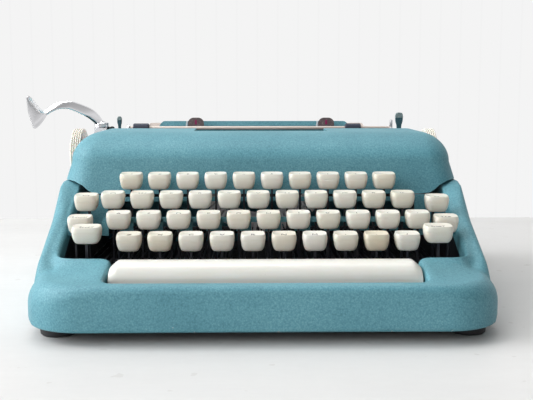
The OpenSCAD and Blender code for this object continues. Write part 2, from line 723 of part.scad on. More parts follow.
// Where the cover's wall stands, where its roll ends, and how low its edge reaches
COVER_HALF = let (
    r = cover_corner_r, bx = cover_half - r, tr = 4, tx = cover_half - cover_side_roll - tr,
    ty = cover_front_y + cover_front_roll,
    ca = arc([bx, cover_front_y + r], r, -90, 0, 8), ta = arc([tx, ty + tr], tr, -90, 0, 8)
  ) concat(
    [for (t = [0, 0.35, 0.7, 0.9]) [[bx * t, cover_front_y], [tx * t, ty]]],
    [for (i = [0:7]) [ca[i], ta[i]]],
    [for (t = [0.45, 1, 2]) let (back = t < 2 ? cover_back_y - notch_d : cover_back_y, f = min(t, 1))
      [[cover_half, lerp(cover_front_y + r, back, f)], [cover_half - cover_side_roll, lerp(ty + tr, back, f)]]]
  );

// The cover's edge follows the rims at the sides and hangs clear of the keys in front
function cover_edge_z(b) = let (
    x = abs(b[0]), y = b[1] + wall + 0.6,
    over = clamp((x - open_half + 1) / (rim_w * 0.5)), near = clamp((x - open_half + 10) / 9)
  ) lerp(cover_front_z, max(cover_front_z, lerp(edge_z(y), crest_z(y), over) + cover_gap), pow(near, 1.4));

function cover_section(s, inset) = let (
    b = s[0], t = s[1], l = norm(t - b), u = (t - b) / l, top = cover_top_z - inset, low = cover_edge_z(b),
    start = cover_lean + inset
  ) concat(
    [[b[0] + u[0] * inset, b[1] + u[1] * inset, low]],
    [for (a = [0, 18, 36, 54, 72, 90]) let (f = l - (l - start) * cos(a))
      [b[0] + u[0] * f, b[1] + u[1] * f, lerp(cover_roll_z, top, sin(a))]]
  );

module cover_shell() {
  stations = concat([for (i = [len(COVER_HALF) - 1:-1:1]) let (s = COVER_HALF[i])
    [[-s[0][0], s[0][1]], [-s[1][0], s[1][1]]]], COVER_HALF);
  m = len(stations);
  n = 7;
  h = (m - 1) / 2;
  outer = [for (s = stations) for (p = cover_section(s, 0)) p];
  inner = [for (s = stations) for (p = cover_section(s, wall)) p];
  c = m * n;
  e = 2 * c;
  nb = cover_back_y - notch_d;
  notch = [[-notch_half, cover_back_y], [-notch_half, nb + 5], [5 - notch_half, nb],
    [notch_half - 5, nb], [notch_half, nb + 5], [notch_half, cover_back_y]];
  // The flat top: its front strip, the strips back to the notch, and the two sides of the notch
  flat = concat(
    [[for (i = [h + 5:-1:h - 5]) i]],
    [for (i = [h - 6:-1:2]) [i + 1, i, m - 1 - i, m - 2 - i]],
    [[2, 1, m + 2, m + 3, m - 2, m - 3], [1, 0, m, m + 1], [1, m + 1, m + 2], [m - 2, m + 4, m + 5, m - 1],
      [m - 2, m + 3, m + 4]]
  );
  back = [0, m, m + 1, m + 2, m + 3, m + 4, m + 5, m - 1];
  upper = [for (i = [0:m + 5]) i < m ? i * n + n - 1 : e + i - m];
  lower = [for (i = [0:m + 5]) i < m ? c + i * n + n - 1 : e + 6 + i - m];
  polyhedron(
    points = concat(outer, inner, [for (p = notch) [p[0], p[1], cover_top_z]],
      [for (p = notch) [p[0], p[1], cover_top_z - wall]]),
    faces = concat(
      [for (i = [0:m - 2]) for (j = [0:n - 2])
        [i * n + j, i * n + j + 1, (i + 1) * n + j + 1, (i + 1) * n + j]],
      [for (i = [0:m - 2]) for (j = [0:n - 2])
        [c + i * n + j, c + (i + 1) * n + j, c + (i + 1) * n + j + 1, c + i * n + j + 1]],
      [for (f = flat) [for (i = f) upper[i]]],
      [for (f = flat) [for (i = [len(f) - 1:-1:0]) lower[f[i]]]],
      [for (i = [0:6]) [upper[back[i + 1]], upper[back[i]], lower[back[i]], lower[back[i + 1]]]],
      [for (i = [0:m - 2]) [i * n, (i + 1) * n, c + (i + 1) * n, c + i * n]],
      [for (j = [0:n - 2]) [j, c + j, c + j + 1, j + 1]],
      [for (j = [0:n - 2]) let (o = (m - 1) * n + j) [o, o + 1, c + o + 1, c + o]]
    )
  );
}

// Two ears hang from the cover's top, each with a pin that turns in the hinge posts
module cover_hinges() {
  for (side = [-1, 1]) {
    side_plate(side * (hinge_x - 2.5) - 1.5, 3) polygon([
      [hinge_y - 7, cover_top_z - wall / 2], [hinge_y - 3, hinge_z - 2], [hinge_y + 1, hinge_z - 2.5],
      [hinge_y + 2, hinge_z], [hinge_y + 1.6, cover_top_z - wall / 2]
    ]);
    cross_rod(min(side * (hinge_x - 4), side * (hinge_x + 3.5)), max(side * (hinge_x - 4), side * (hinge_x + 3.5)),
      hinge_y, hinge_z, pin_r);
  }
}

module ribbon_cover() {
  color(PAINT) {
    cover_shell();
    cover_hinges();
  }
}

// ---------------------------------------------------------------- carriage

module end_plate(x) {
  difference() {
    side_plate(x, end_plate_t) polygon(concat(
      [[platen_y - 15, bed_z], [platen_y + 27, bed_z], [platen_y + 29, bed_z + 26]],
      arc([platen_y + 17, platen_z + 8], 11, 20, 95, 5),
      arc([platen_y, platen_z], 19.5, 85, 165, 7)
    ));
    cross_rod(x - 1, x + end_plate_t + 1, platen_y, platen_z, shaft_r + run_gap);
  }
}

// A painted hood over one end of the carriage, from x on
module end_hood(x) {
  c = [platen_y + 4, platen_z + 2];
  side_plate(x, hood_l - end_plate_t + 0.5) polygon(concat(arc(c, 18.4, 20, 150, 10), arc(c, 16.9, 150, 20, 10)));
}

// The curved sheet behind the platen, with a lower wing at each end
module paper_table() {
  y0 = platen_y + platen_r + 3;
  for (e = [[table_x0, table_x1, table_top_z], [table_x0 - 8.5, table_x0 + 1, table_top_z - 1.2],
      [table_x1 - 1, table_x1 + 13, table_top_z - 1.2]]) let (lean = e[2] - platen_z - 8)
    side_plate(e[0], e[1] - e[0]) polygon([
      [y0, bed_z + bed_t], [y0 + 1.6, bed_z + bed_t], [y0 + 9.6, platen_z + 8], [y0 + 9.6 + 0.57 * lean, e[2]],
      [y0 + 7.5 + 0.57 * lean, e[2] + 0.6], [y0 + 7, platen_z + 8]
    ]);
}

// A rack along the paper table with the two margin stops standing on it
module margin_stops() {
  y = platen_y + 27.5;
  z = platen_z + 21.5;
  translate([table_x0 + 4, y, z - 6]) cube([table_x1 - table_x0 - 8, 3.8, 3]);
  for (x = stop_x) front_plate(y - 1.5, 2) polygon(concat(
    arc([x + 1.8, z - 0.9], 5, 0, 90, 6), arc([x - 1.8, z - 0.9], 5, 90, 180, 6),
    [[x - 6.8, z - 2], [x - 3, z - 2], [x - 3, z - 6], [x + 3, z - 6], [x + 3, z - 2], [x + 6.8, z - 2]]
  ));
}

module bed() {
  difference() {
    translate([-carriage_l / 2, platen_y - 13, bed_z]) cube([carriage_l, 40, bed_t]);
    translate([-platen_l / 2 + 14, platen_y - 2, bed_z - 1]) cube([platen_l - 28, 14, bed_t + 2]);
  }
}

// A turned bush that steadies the platen's shaft outside the left end plate
module shaft_bush() {
  difference() {
    cross_rod(-end_x - bush_l, -end_x - 1, platen_y, platen_z, 9);
    cross_rod(-end_x - bush_l - 1, -end_x, platen_y, platen_z, shaft_r + run_gap);
  }
}

module lever_pivot() {
  translate([pivot_x - 5, platen_y - 6, platen_z + 14]) cube([10, 12, lever_seat_z - platen_z - 14.3]);
  translate([pivot_x, platen_y, platen_z + 18]) cylinder(h = lever_seat_z - platen_z - 13.5, r = 2.5);
}

module carriage_frame() {
  color(PAINT) {
    bed();
    end_plate(end_x);
    end_plate(-end_x - end_plate_t);
    end_hood(end_x + end_plate_t - 0.5);
    end_hood(-end_x - hood_l);
    paper_table();
  }
  color(CHROME) {
    margin_stops();
    lever_pivot();
    shaft_bush();
    cross_rod(-end_x - 1, end_x + 1, bail_y, bail_z, 2);
  }
}

module platen() {
  seat = knob_l - 4;
  color(BLACK) {
    cross_rod(-platen_l / 2, platen_l / 2, platen_y, platen_z, platen_r);
    cross_rod(-left_knob_x - seat, right_knob_x + seat, platen_y, platen_z, shaft_r);
  }
}

module platen_knob(x0, dir) {
  g = 0.9;
  translate([x0, platen_y, platen_z]) rotate([0, 90 * dir, 0]) rotate_extrude() polygon(concat(
    [[shaft_r, 0], [knob_r - 3, 0]],
    [for (i = [0:3]) for (p = [[knob_r - (i == 0 ? 1 : g), 0.6], [knob_r, 1.1], [knob_r, 2.2], [knob_r - g, 2.7]])
      [p[0], p[1] + i * (knob_l - 1) / 4]],
    [[knob_r - 2.5, knob_l], [knob_r - 8, knob_l - 1.5], [0, knob_l - 1.5], [0, knob_l - 4], [shaft_r, knob_l - 4]]
  ));
}

module platen_knobs() {
  color(CREAM) {
    platen_knob(right_knob_x, 1);
    platen_knob(-left_knob_x, -1);
  }
}

// A strap carried along a path of (x, y, z, width, thickness), its face leaning towards the typist
module strap(path, lean) {
  m = len(path);
  loft([for (i = [0:m - 1]) let (
      p = path[i], a = path[max(0, i - 1)], b = path[min(m - 1, i + 1)],
      d = [b[0] - a[0], 0, b[2] - a[2]] / norm([b[0] - a[0], 0, b[2] - a[2]]), nrm = [-d[2], 0, d[0]],
      u = (nrm * sin(lean) - [0, cos(lean), 0]) * p[3] / 2, v = (nrm * cos(lean) + [0, sin(lean), 0]) * p[4] / 2,
      c = [p[0], p[1], p[2]]
    ) [c + u - v, c - u - v, c - u + v, c + u + v]
  ]);
}

module return_lever() {
  x = pivot_x;
  y = platen_y;
  z = lever_seat_z;
  color(CHROME) {
    difference() {
      translate([x, y, z]) cylinder(h = 4.3, r = 6);
      translate([x, y, z - 1]) cylinder(h = 7, r = 2.5 + run_gap);
    }
    strap([
      [x - 4.6, y - 4.6, z + 2.2, 4.6, 2.2], [x - 5.2, y - 6, z + 6.5, 6.6, 2.2],
      [x - 7.6, y - 8, z + 10.3, 9, 2.2],
      [x - 13.2, y - 12, z + 14.5, 9, 2.2], [x - 19.9, y - 16, z + 17.5, 8.2, 2.2],
      [x - 25.2, y - 20, z + 18.2, 7.4, 2.2], [x - 30.5, y - 24, z + 17.2, 6.8, 2.2],
      [x - 35.6, y - 28, z + 14.2, 6, 2.2], [x - 39.7, y - 31, z + 10.4, 4.6, 2.4]
    ], 50);
    // The finger paddle, a fin turned towards the typist
    translate([x - 37, y - 31, z]) rotate([0, 0, 30]) front_plate(-1.5, 2.6) polygon([
      [-15.6, 24.4], [-13, 25.4], [-4.8, 15.2], [0, 11.2], [-2.4, 6.2], [-8, 0.4], [-10.8, 0], [-14.6, 13.4]
    ]);
  }
}

module paper_bail() {
  rod_y = platen_y - 6.25;
  rod_z = platen_z + 20.6;
  color(CHROME) {
    cross_rod(-bail_half - 1, bail_half + 1, rod_y, rod_z, 1.6);
    for (side = [-1, 1]) difference() {
      side_plate(side * bail_half - 1, 2) polygon([
        [bail_y - 3, bail_z - 3], [bail_y + 3, bail_z - 3], [bail_y + 4, bail_z + 2], [bail_y - 4, platen_z + 18.5],
        [platen_y + 4, platen_z + 20], [rod_y + 2, rod_z + 2], [rod_y - 2, rod_z + 2], [rod_y - 2.4, rod_z - 2],
        [rod_y + 2, rod_z - 2.5], [platen_y + 2, platen_z + 17], [bail_y - 10, platen_z + 15],
        [bail_y - 6, bail_z + 4]
      ]);
      cross_rod(side * bail_half - 2, side * bail_half + 2, bail_y, bail_z, 2 + run_gap);
    }
    // The tab by which the bail is lifted
    side_plate(bail_half - 1, 2) polygon([
      [rod_y - 1.6, rod_z], [rod_y + 1.6, rod_z], [rod_y + 0.8, rod_z + 6.6], [rod_y - 2.2, rod_z + 6.6]
    ]);
    for (x = roller_x) cross_rod(x - 6.5, x + 6.5, rod_y, rod_z, roller_r);
  }
}

// A lever at each end of the bail's rod frees the paper
module release_lever(x, w, top) {
  z = platen_z + 20.5;
  difference() {
    union() {
      cross_rod(x - 1.7, x + 1.7, bail_y, bail_z, 5);
      front_plate(bail_y - 1, 2) polygon([
        [x - 0.6 * w, bail_z], [x + 0.6 * w, bail_z], [x + 0.6 * w, z], [x + w, lerp(z, top, 0.4)],
        [x + 0.9 * w, top - 1.4], [x + 0.5 * w, top], [x - 0.5 * w, top], [x - 0.9 * w, top - 1.4],
        [x - w, lerp(z, top, 0.4)], [x - 0.6 * w, z]
      ]);
    }
    cross_rod(x - 3, x + 3, bail_y, bail_z, 2 + run_gap);
  }
}

module paper_release_lever() {
  color(BLACK) {
    release_lever(end_x - 2.1, 3.3, platen_z + 32.6);
    release_lever(2.1 - end_x, 2, platen_z + 29.4);
  }
}

for (r = [0:3]) for (i = [0:len(ROWS[r]) - 1])
  typing_key(r, i);
space_bar();
shift_keys();
shift_lock_key();
margin_release_key();
backspace_key();
tabulator_key();
lower_housing();
chassis();
rubber_feet();
type_basket();
ribbon_spools();
ribbon_cover();
carriage_frame();
platen();
platen_knobs();
return_lever();
paper_bail();
paper_release_lever();
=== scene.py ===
# Portable typewriter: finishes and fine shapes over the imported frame.
# Shapes are in millimetres until they become meshes in metres; +X is right, +Y away from the typist, +Z up.
import math

import bpy
import numpy as np
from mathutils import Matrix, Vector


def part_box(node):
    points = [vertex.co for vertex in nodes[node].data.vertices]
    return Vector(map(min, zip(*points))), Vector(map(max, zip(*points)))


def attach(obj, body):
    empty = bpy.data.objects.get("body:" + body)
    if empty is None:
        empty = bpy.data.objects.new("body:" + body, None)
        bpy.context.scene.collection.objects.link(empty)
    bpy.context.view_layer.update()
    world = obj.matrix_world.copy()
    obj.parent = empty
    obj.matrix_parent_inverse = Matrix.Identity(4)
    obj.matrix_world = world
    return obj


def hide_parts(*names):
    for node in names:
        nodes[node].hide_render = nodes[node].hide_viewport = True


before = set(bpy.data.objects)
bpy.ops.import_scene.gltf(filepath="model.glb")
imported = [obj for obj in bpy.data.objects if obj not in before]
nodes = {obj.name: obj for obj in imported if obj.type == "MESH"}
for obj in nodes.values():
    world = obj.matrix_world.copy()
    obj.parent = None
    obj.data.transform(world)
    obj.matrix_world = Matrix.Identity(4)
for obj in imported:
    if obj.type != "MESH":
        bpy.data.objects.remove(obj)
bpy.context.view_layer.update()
mm = 0.001


def boxOf(node):
    low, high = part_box(node)
    return np.array(low) / mm, np.array(high) / mm


housingLow, housingHigh = boxOf("lower_housing")
coverLow, coverHigh = boxOf("ribbon_cover")
print("frame loaded:", len(nodes), "nodes")

view = {
    "place": (-7.3, -595.0, 131.7),
    "pitch": 6.5,  # degrees below level
    "yaw": -1.05,  # degrees anticlockwise from above
    "lens": 56.8,
    "sensor": 36.0,
    "clipStart": 0.01,
}
light = {
    "sky": (0.95, 0.97, 1.0),
    "skyStrength": 0.09,
    # height on the sky: grey that polished metal shows there
    "mirror": [(0.0, 0.10), (0.46, 0.16), (0.50, 0.62), (0.62, 0.85), (0.80, 0.50), (1.0, 0.38)],
    # name: place, target, size, power, colour
    "lamps": {
        "window": ((-1.45, -0.35, 0.75), (0, 0.0, 0.05), (1.9, 1.6), 28.0, (0.96, 0.98, 1.0)),
        "leftBack": ((-1.1, 0.15, 1.0), (0, 0, 0.05), (0.9, 0.9), 12.0, (1.0, 1.0, 1.0)),
        "topBack": ((-0.1, 0.22, 1.3), (0, 0, 0.05), (1.2, 0.4), 8.5, (1.0, 1.0, 0.98)),
        "room": ((-0.65, -1.55, 0.8), (0, 0, 0.06), (1.4, 0.9), 10.0, (1.0, 0.99, 0.97)),
    },
}
stage = {
    "halfWidth": 2.5,
    "frontY": -2.0,
    "wallY": 0.375,
    "backY": 2.5,
    "wallTop": 2.4,
    "floor": (0.60, 0.595, 0.59),
    "paintedLightColour": (1.0, 0.99, 0.98),
    "floorPit": (0.42, 0.39, 0.36),
    "paintedLightSlope": 0.72,  # how much paler the floor is painted over a metre to the right: painted light that evens out the lamps' fall-off
    "paintedLightFrom": 0.35,  # metres left of the middle where that painted light begins
    "wall": (0.62, 0.62, 0.62),
    "shownWall": (0.905, 0.905, 0.905),
    "seam": (0.55, 0.56, 0.58),
    "board": 0.0232,
}


def setCamera():
    camera = bpy.data.objects.new("camera", bpy.data.cameras.new("camera"))
    camera.data.lens = view["lens"]
    camera.data.sensor_width = view["sensor"]
    camera.data.clip_start = view["clipStart"]
    camera.location = np.array(view["place"]) * mm
    camera.rotation_euler = (math.radians(90 - view["pitch"]), 0, math.radians(view["yaw"]))
    bpy.context.scene.collection.objects.link(camera)
    bpy.context.scene.camera = camera


def addLamp(name, place, target, size, power, colour):
    lamp = bpy.data.lights.new(name, "AREA")
    lamp.shape = "RECTANGLE"
    lamp.size, lamp.size_y = size
    lamp.energy = power
    lamp.color = colour
    lampObject = bpy.data.objects.new(name, lamp)
    direction = np.array(target, float) - np.array(place, float)
    tilt = math.atan2(math.hypot(direction[0], direction[1]), -direction[2])
    lampObject.location = place
    lampObject.rotation_euler = (tilt, 0, math.atan2(direction[1], direction[0]) - math.pi / 2)
    bpy.context.scene.collection.objects.link(lampObject)


def mathsMethod(operation, swapped=False):
    def method(self, other):
        return self.owner.maths(operation, *((other, self) if swapped else (self, other)))

    return method


class Socket:
    # A node's output that adds Math nodes when it is used in an expression
    def __init__(self, owner, output):
        self.owner = owner
        self.output = output

    __add__, __radd__ = mathsMethod("ADD"), mathsMethod("ADD", True)
    __sub__, __rsub__ = mathsMethod("SUBTRACT"), mathsMethod("SUBTRACT", True)
    __mul__, __rmul__ = mathsMethod("MULTIPLY"), mathsMethod("MULTIPLY", True)
    __truediv__ = mathsMethod("DIVIDE")

    def above(self, edge, softness):
        # 0 below edge, 1 above edge + softness
        return self.owner.add("ShaderNodeMapRange", {"interpolation_type": "SMOOTHSTEP"},
                              {"Value": self, "From Min": edge, "From Max": edge + softness})


class Nodes:
    # Adds nodes to a tree and links them
    def __init__(self, tree):
        self.tree = tree
        tree.nodes.clear()

    def put(self, socket, value):
        if isinstance(value, Socket):
            self.tree.links.new(value.output, socket)
        else:
            if socket.type == "RGBA" and len(value) == 3:
                value = (*value, 1.0)
            socket.default_value = value

    def add(self, kind, settings=None, values=(), out=0):
        # Values go to the inputs by name from a dict, or else in their order
        node = self.tree.nodes.new(kind)
        for key, value in (settings or {}).items():
            setattr(node, key, value)
        for key, value in values.items() if isinstance(values, dict) else enumerate(values):
            self.put(node.inputs[key], value)
        return Socket(self, node.outputs[out])

    def maths(self, operation, *values, clamped=False):
        return self.add("ShaderNodeMath", {"operation": operation, "use_clamp": clamped}, values)

    def ramp(self, factor, *stops):
        # Each stop is a position and its colour
        ramp = self.add("ShaderNodeValToRGB", None, [factor])
        elements = ramp.output.node.color_ramp.elements
        while len(elements) < len(stops):
            elements.new(0.5)
        for element, (position, colour) in zip(elements, stops):
            element.position, element.color = position, (*colour, 1.0)
        return ramp

    def mix(self, factor, first, second):
        node = self.tree.nodes.new("ShaderNodeMix")
        node.data_type = "RGBA"
        for key, value in ((0, factor), (6, first), (7, second)):
            self.put(node.inputs[key], value)
        return Socket(self, node.outputs[2])

    def ray(self, kind):
        return self.add("ShaderNodeLightPath", out=kind)

    def choose(self, factor, first, second):
        # The first shader where the factor is 0, the second where it is 1
        return self.add("ShaderNodeMixShader", None, [factor, first, second])


class Paint(Nodes):
    # A material and the methods that build its nodes
    def __init__(self, name):
        self.material = bpy.data.materials.new(name)
        self.material.use_nodes = True
        super().__init__(self.material.node_tree)
        self.shader = self.add("ShaderNodeBsdfPrincipled")
        self.surface = self.tree.nodes.new("ShaderNodeOutputMaterial").inputs[0]
        self.put(self.surface, self.shader)
        self.place = self.add("ShaderNodeTexCoord", out="Object")

    def set(self, **values):
        # Spaces in a socket's name are written as underscores
        for key, value in values.items():
            self.put(self.shader.output.node.inputs[key.replace("_", " ")], value)
        return self

    def noise(self, scale, detail=2.0, roughness=0.5, vector=None):
        return self.add("ShaderNodeTexNoise", None, {
            "Vector": vector or self.place, "Scale": scale, "Detail": detail, "Roughness": roughness})

    def cells(self, scale, feature="F1"):
        return self.add("ShaderNodeTexVoronoi", {"feature": feature}, {"Vector": self.place, "Scale": scale})

    def stretched(self, x, y, z):
        return self.add("ShaderNodeMapping", None, {"Vector": self.place, "Scale": (x, y, z)})

    def across(self):
        return self.add("ShaderNodeSeparateXYZ", None, [self.place], out="X")

    def attribute(self, name):
        # "edge" is 1 along a piece's edges, "tone" differs from key to key
        return self.add("ShaderNodeAttribute", {"attribute_name": name}, out="Fac")

    def bump(self, height, strength, distance):
        return self.set(Normal=self.add("ShaderNodeBump", None, {
            "Height": height, "Strength": strength, "Distance": distance}))


crinkle = {
    "colour": (0.098, 0.285, 0.345),
    "pale": (0.160, 0.375, 0.435),
    "deep": (0.060, 0.205, 0.255),
    "bare": (0.46, 0.50, 0.50),
    "grain": 1150.0,  # wrinkles a metre
}


def crinklePaint(name):
    # Wrinkle enamel: rounded grains packed side by side, rubbed through along the edges. Painted shade darkens
    # the hollows between the grains and painted light makes their tops paler
    paint = Paint(name)
    grains = paint.cells(crinkle["grain"], "SMOOTH_F1")
    fine = paint.noise(crinkle["grain"] * 0.8, 3.0, 0.6)
    height = (1.0 - grains) * 0.6 + fine * 0.6
    cloud = paint.noise(14.0, 4.0, 0.6)
    # painted shade and light: the grains' height darkens the hollows and pales the tops; the cloud is the
    # paint's own mottling
    tone = (cloud - 0.5) * 0.9 + (height - 0.62) * 1.5 + 0.45
    colour = paint.ramp(tone, (0.05, crinkle["deep"]), (0.5, crinkle["colour"]), (0.95, crinkle["pale"]))
    spots = paint.noise(210.0, 3.0, 0.7)
    rubbed = (paint.attribute("edge") * 0.30 + spots).above(0.90, 0.03)
    paint.set(Base_Color=paint.mix(rubbed, colour, crinkle["bare"]), Roughness=0.47 + fine * 0.16,
              Specular_IOR_Level=0.45)
    return paint.bump(height, 0.75, 0.00022).material


plastic = {
    "colour": (0.735, 0.700, 0.615),
    "warm": (0.70, 0.615, 0.455),
    "pale": (0.80, 0.785, 0.74),
    "dirt": (0.36, 0.31, 0.24),
}


def creamPlastic(name):
    # Moulded cream plastic: each cap has its own tone, faint turning lines and specks of dirt
    paint = Paint(name)
    cloud = paint.noise(55.0, 3.0, 0.6)
    lines = paint.noise(90.0, 2.0, 0.5, paint.stretched(0.3, 0.3, 22.0))
    tone = paint.attribute("tone") * 0.5 + 0.42 + (cloud - 0.5) * 0.5 + (lines - 0.5) * 0.22
    mixed = paint.ramp(tone, (0.0, plastic["pale"]), (0.5, plastic["colour"]), (1.0, plastic["warm"]))
    specks = paint.noise(900.0, 2.0, 0.7).above(0.72, 0.05)
    paint.set(Base_Color=paint.mix(specks * 0.5, mixed, plastic["dirt"]), Roughness=0.30 + lines * 0.12,
              Subsurface_Weight=0.06, Coat_Weight=0.15)
    return paint.bump(lines, 0.10, 0.0003).material


def agedSteel(name):
    # Blued strip steel gone nearly black, with paler rubbed streaks
    paint = Paint(name)
    streaks = paint.noise(60.0, 4.0, 0.6, paint.stretched(2.0, 0.4, 2.0))
    tone = paint.ramp(streaks, (0.35, (0.012, 0.014, 0.02)), (0.75, (0.06, 0.06, 0.068)))
    paint.set(Base_Color=tone, Metallic=0.6, Roughness=0.38 + streaks * 0.2)
    return paint.material


def plainMetal(name, colour, roughness, brushed=0.0):
    # Polished or brushed metal, a little duller where it has been handled
    paint = Paint(name)
    haze = paint.noise(38.0, 4.0, 0.6)
    grain = paint.noise(500.0, 2.0, 0.5, paint.stretched(0.05, 1.0, 1.0))
    tone = paint.mix(haze.above(0.5, 0.3) * 0.35, colour, tuple(0.72 * c for c in colour))
    paint.set(Base_Color=tone, Metallic=1.0, Roughness=haze * 0.12 + grain * brushed + roughness)
    return paint.material


def rubberPaint(name, colour, roughness):
    # Black rubber or dull black enamel, greyed by dust
    paint = Paint(name)
    dust = paint.noise(26.0, 5.0, 0.7)
    fine = paint.noise(1400.0, 2.0, 0.6)
    tone = paint.mix(dust.above(0.45, 0.4) * 0.5, colour, tuple(c * 1.9 + 0.01 for c in colour))
    paint.set(Base_Color=tone, Roughness=fine * 0.2 + roughness)
    return paint.bump(fine, 0.15, 0.0002).material


def cracklePaint(name, colour, speck):
    # Coarse crackle finish with pale specks between the grains
    paint = Paint(name)
    grains = paint.cells(900.0)
    fine = paint.noise(700.0, 3.0, 0.6)
    paint.set(Base_Color=paint.mix(fine.above(0.55, 0.12) * 0.6, colour, speck), Roughness=0.55)
    return paint.bump(1.0 - grains, 0.6, 0.0003).material


def flatPaint(name, colour, roughness=0.45):
    paint = Paint(name)
    cloud = paint.noise(120.0, 3.0, 0.6)
    paint.set(Base_Color=paint.mix(cloud * 0.5, colour, tuple(0.8 * c for c in colour)), Roughness=roughness)
    return paint.material


def inkPaint(name):
    paint = Paint(name)
    wear = paint.noise(700.0, 2.0, 0.5)
    paint.set(Base_Color=paint.mix(wear, (0.05, 0.045, 0.04), (0.15, 0.13, 0.11)), Roughness=0.6)
    return paint.material


def flatQuad(name, corners, paint):
    mesh = bpy.data.meshes.new(name)
    mesh.from_pydata(corners, [], [(0, 1, 2, 3)])
    mesh.materials.append(paint.material)
    piece = bpy.data.objects.new(name, mesh)
    bpy.context.scene.collection.objects.link(piece)
    return piece


def makeWorld():
    # A dim sky. Polished metal sees it brighter and banded by height, the camera sees it as pale as the wall
    world = bpy.data.worlds.new("studio")
    world.use_nodes = True
    sky = Nodes(world.node_tree)
    height = sky.add("ShaderNodeSeparateXYZ", None, [sky.add("ShaderNodeTexCoord", out="Generated")], out="Z")
    share = sky.add("ShaderNodeMapRange", None, {"Value": height, "From Min": -1.0})
    bands = sky.ramp(share, *((at, (grey,) * 3) for at, grey in light["mirror"]))
    plain, mirror, distance = (sky.add("ShaderNodeBackground", None, look) for look in (
        (light["sky"], light["skyStrength"]), (bands, 1.0), (stage["shownWall"], 1.0)))
    lit = sky.choose(sky.ray("Is Glossy Ray"), plain, mirror)
    shown = sky.choose(sky.ray("Is Camera Ray"), lit, distance)
    sky.put(sky.tree.nodes.new("ShaderNodeOutputWorld").inputs[0], shown)
    bpy.context.scene.world = world


def makeFloor():
    # Pale stone, clouded and pitted, painted paler towards the right as painted light
    s = stage
    paint = Paint("pale_stone")
    cloud = paint.noise(7.0, 6.0, 0.65, paint.stretched(0.4, 1.6, 1.0))
    grain = paint.noise(170.0, 3.0, 0.6, paint.stretched(0.5, 1.0, 1.0))
    pits = paint.noise(75.0, 2.0, 0.5).above(0.70, 0.02)
    deep = tuple(0.90 * c for c in s["floor"])
    tone = paint.ramp(cloud * 0.75 + grain * 0.25, (0.30, deep), (0.62, s["floor"]))
    # painted light: the stone is painted paler towards the right, where the lamps light it less
    pale = paint.maths("MULTIPLY", paint.across() + s["paintedLightFrom"], s["paintedLightSlope"], clamped=True)
    tone = paint.mix(pale, tone, s["paintedLightColour"])
    paint.set(Base_Color=paint.mix(pits * 0.25, tone, s["floorPit"]), Roughness=0.5)
    x, front, back = s["halfWidth"], s["frontY"], s["backY"]
    return flatQuad("floor", [(-x, front, 0), (x, front, 0), (x, back, 0), (-x, back, 0)], paint)


def makeWall():
    # White boards, shown at their own colour; from behind, the view and the light pass through them
    s = stage
    paint = Paint("white_boards")
    seam = 1.0 - paint.maths("PINGPONG", paint.across() / s["board"], 0.5).above(0.0, 0.07)
    paint.set(Base_Color=s["wall"], Roughness=0.7)
    shown = paint.add("ShaderNodeEmission", None, [paint.mix(seam * 0.05, s["shownWall"], s["seam"])])
    seen = paint.ray("Is Camera Ray")
    for kind in ("Is Glossy Ray", "Is Transmission Ray"):
        seen = paint.maths("MAXIMUM", seen, paint.ray(kind))
    front = paint.choose(seen, paint.shader, shown)
    behind = paint.add("ShaderNodeNewGeometry", out="Backfacing")
    paint.put(paint.surface, paint.choose(behind, front, paint.add("ShaderNodeBsdfTransparent")))
    x, y, top = s["halfWidth"], s["wallY"], s["wallTop"]
    return flatQuad("wall", [(-x, y, 0), (x, y, 0), (x, y, top), (-x, y, top)], paint)


def setStage():
    bpy.context.scene.view_settings.view_transform = "Standard"
    makeWorld()
    makeFloor()
    makeWall()
    for name, settings in light["lamps"].items():
        addLamp(name, *settings)


def gridFaces(rows, columns, closedRows=False, closedColumns=False, first=0, flip=False):
    # Quads of a grid of points counted row by row. They face outwards where the rows run anticlockwise round
    # the way they are stacked. Closed directions join their last line to their first
    i = np.arange(rows if closedRows else rows - 1)
    j = np.arange(columns if closedColumns else columns - 1)
    i, j = (a.ravel() for a in np.meshgrid(i, j, indexing="ij"))
    k, l = (i + 1) % rows, (j + 1) % columns
    quads = np.stack([i * columns + j, i * columns + l, k * columns + l, k * columns + j], 1) + first
    return (quads[:, ::-1] if flip else quads).tolist()


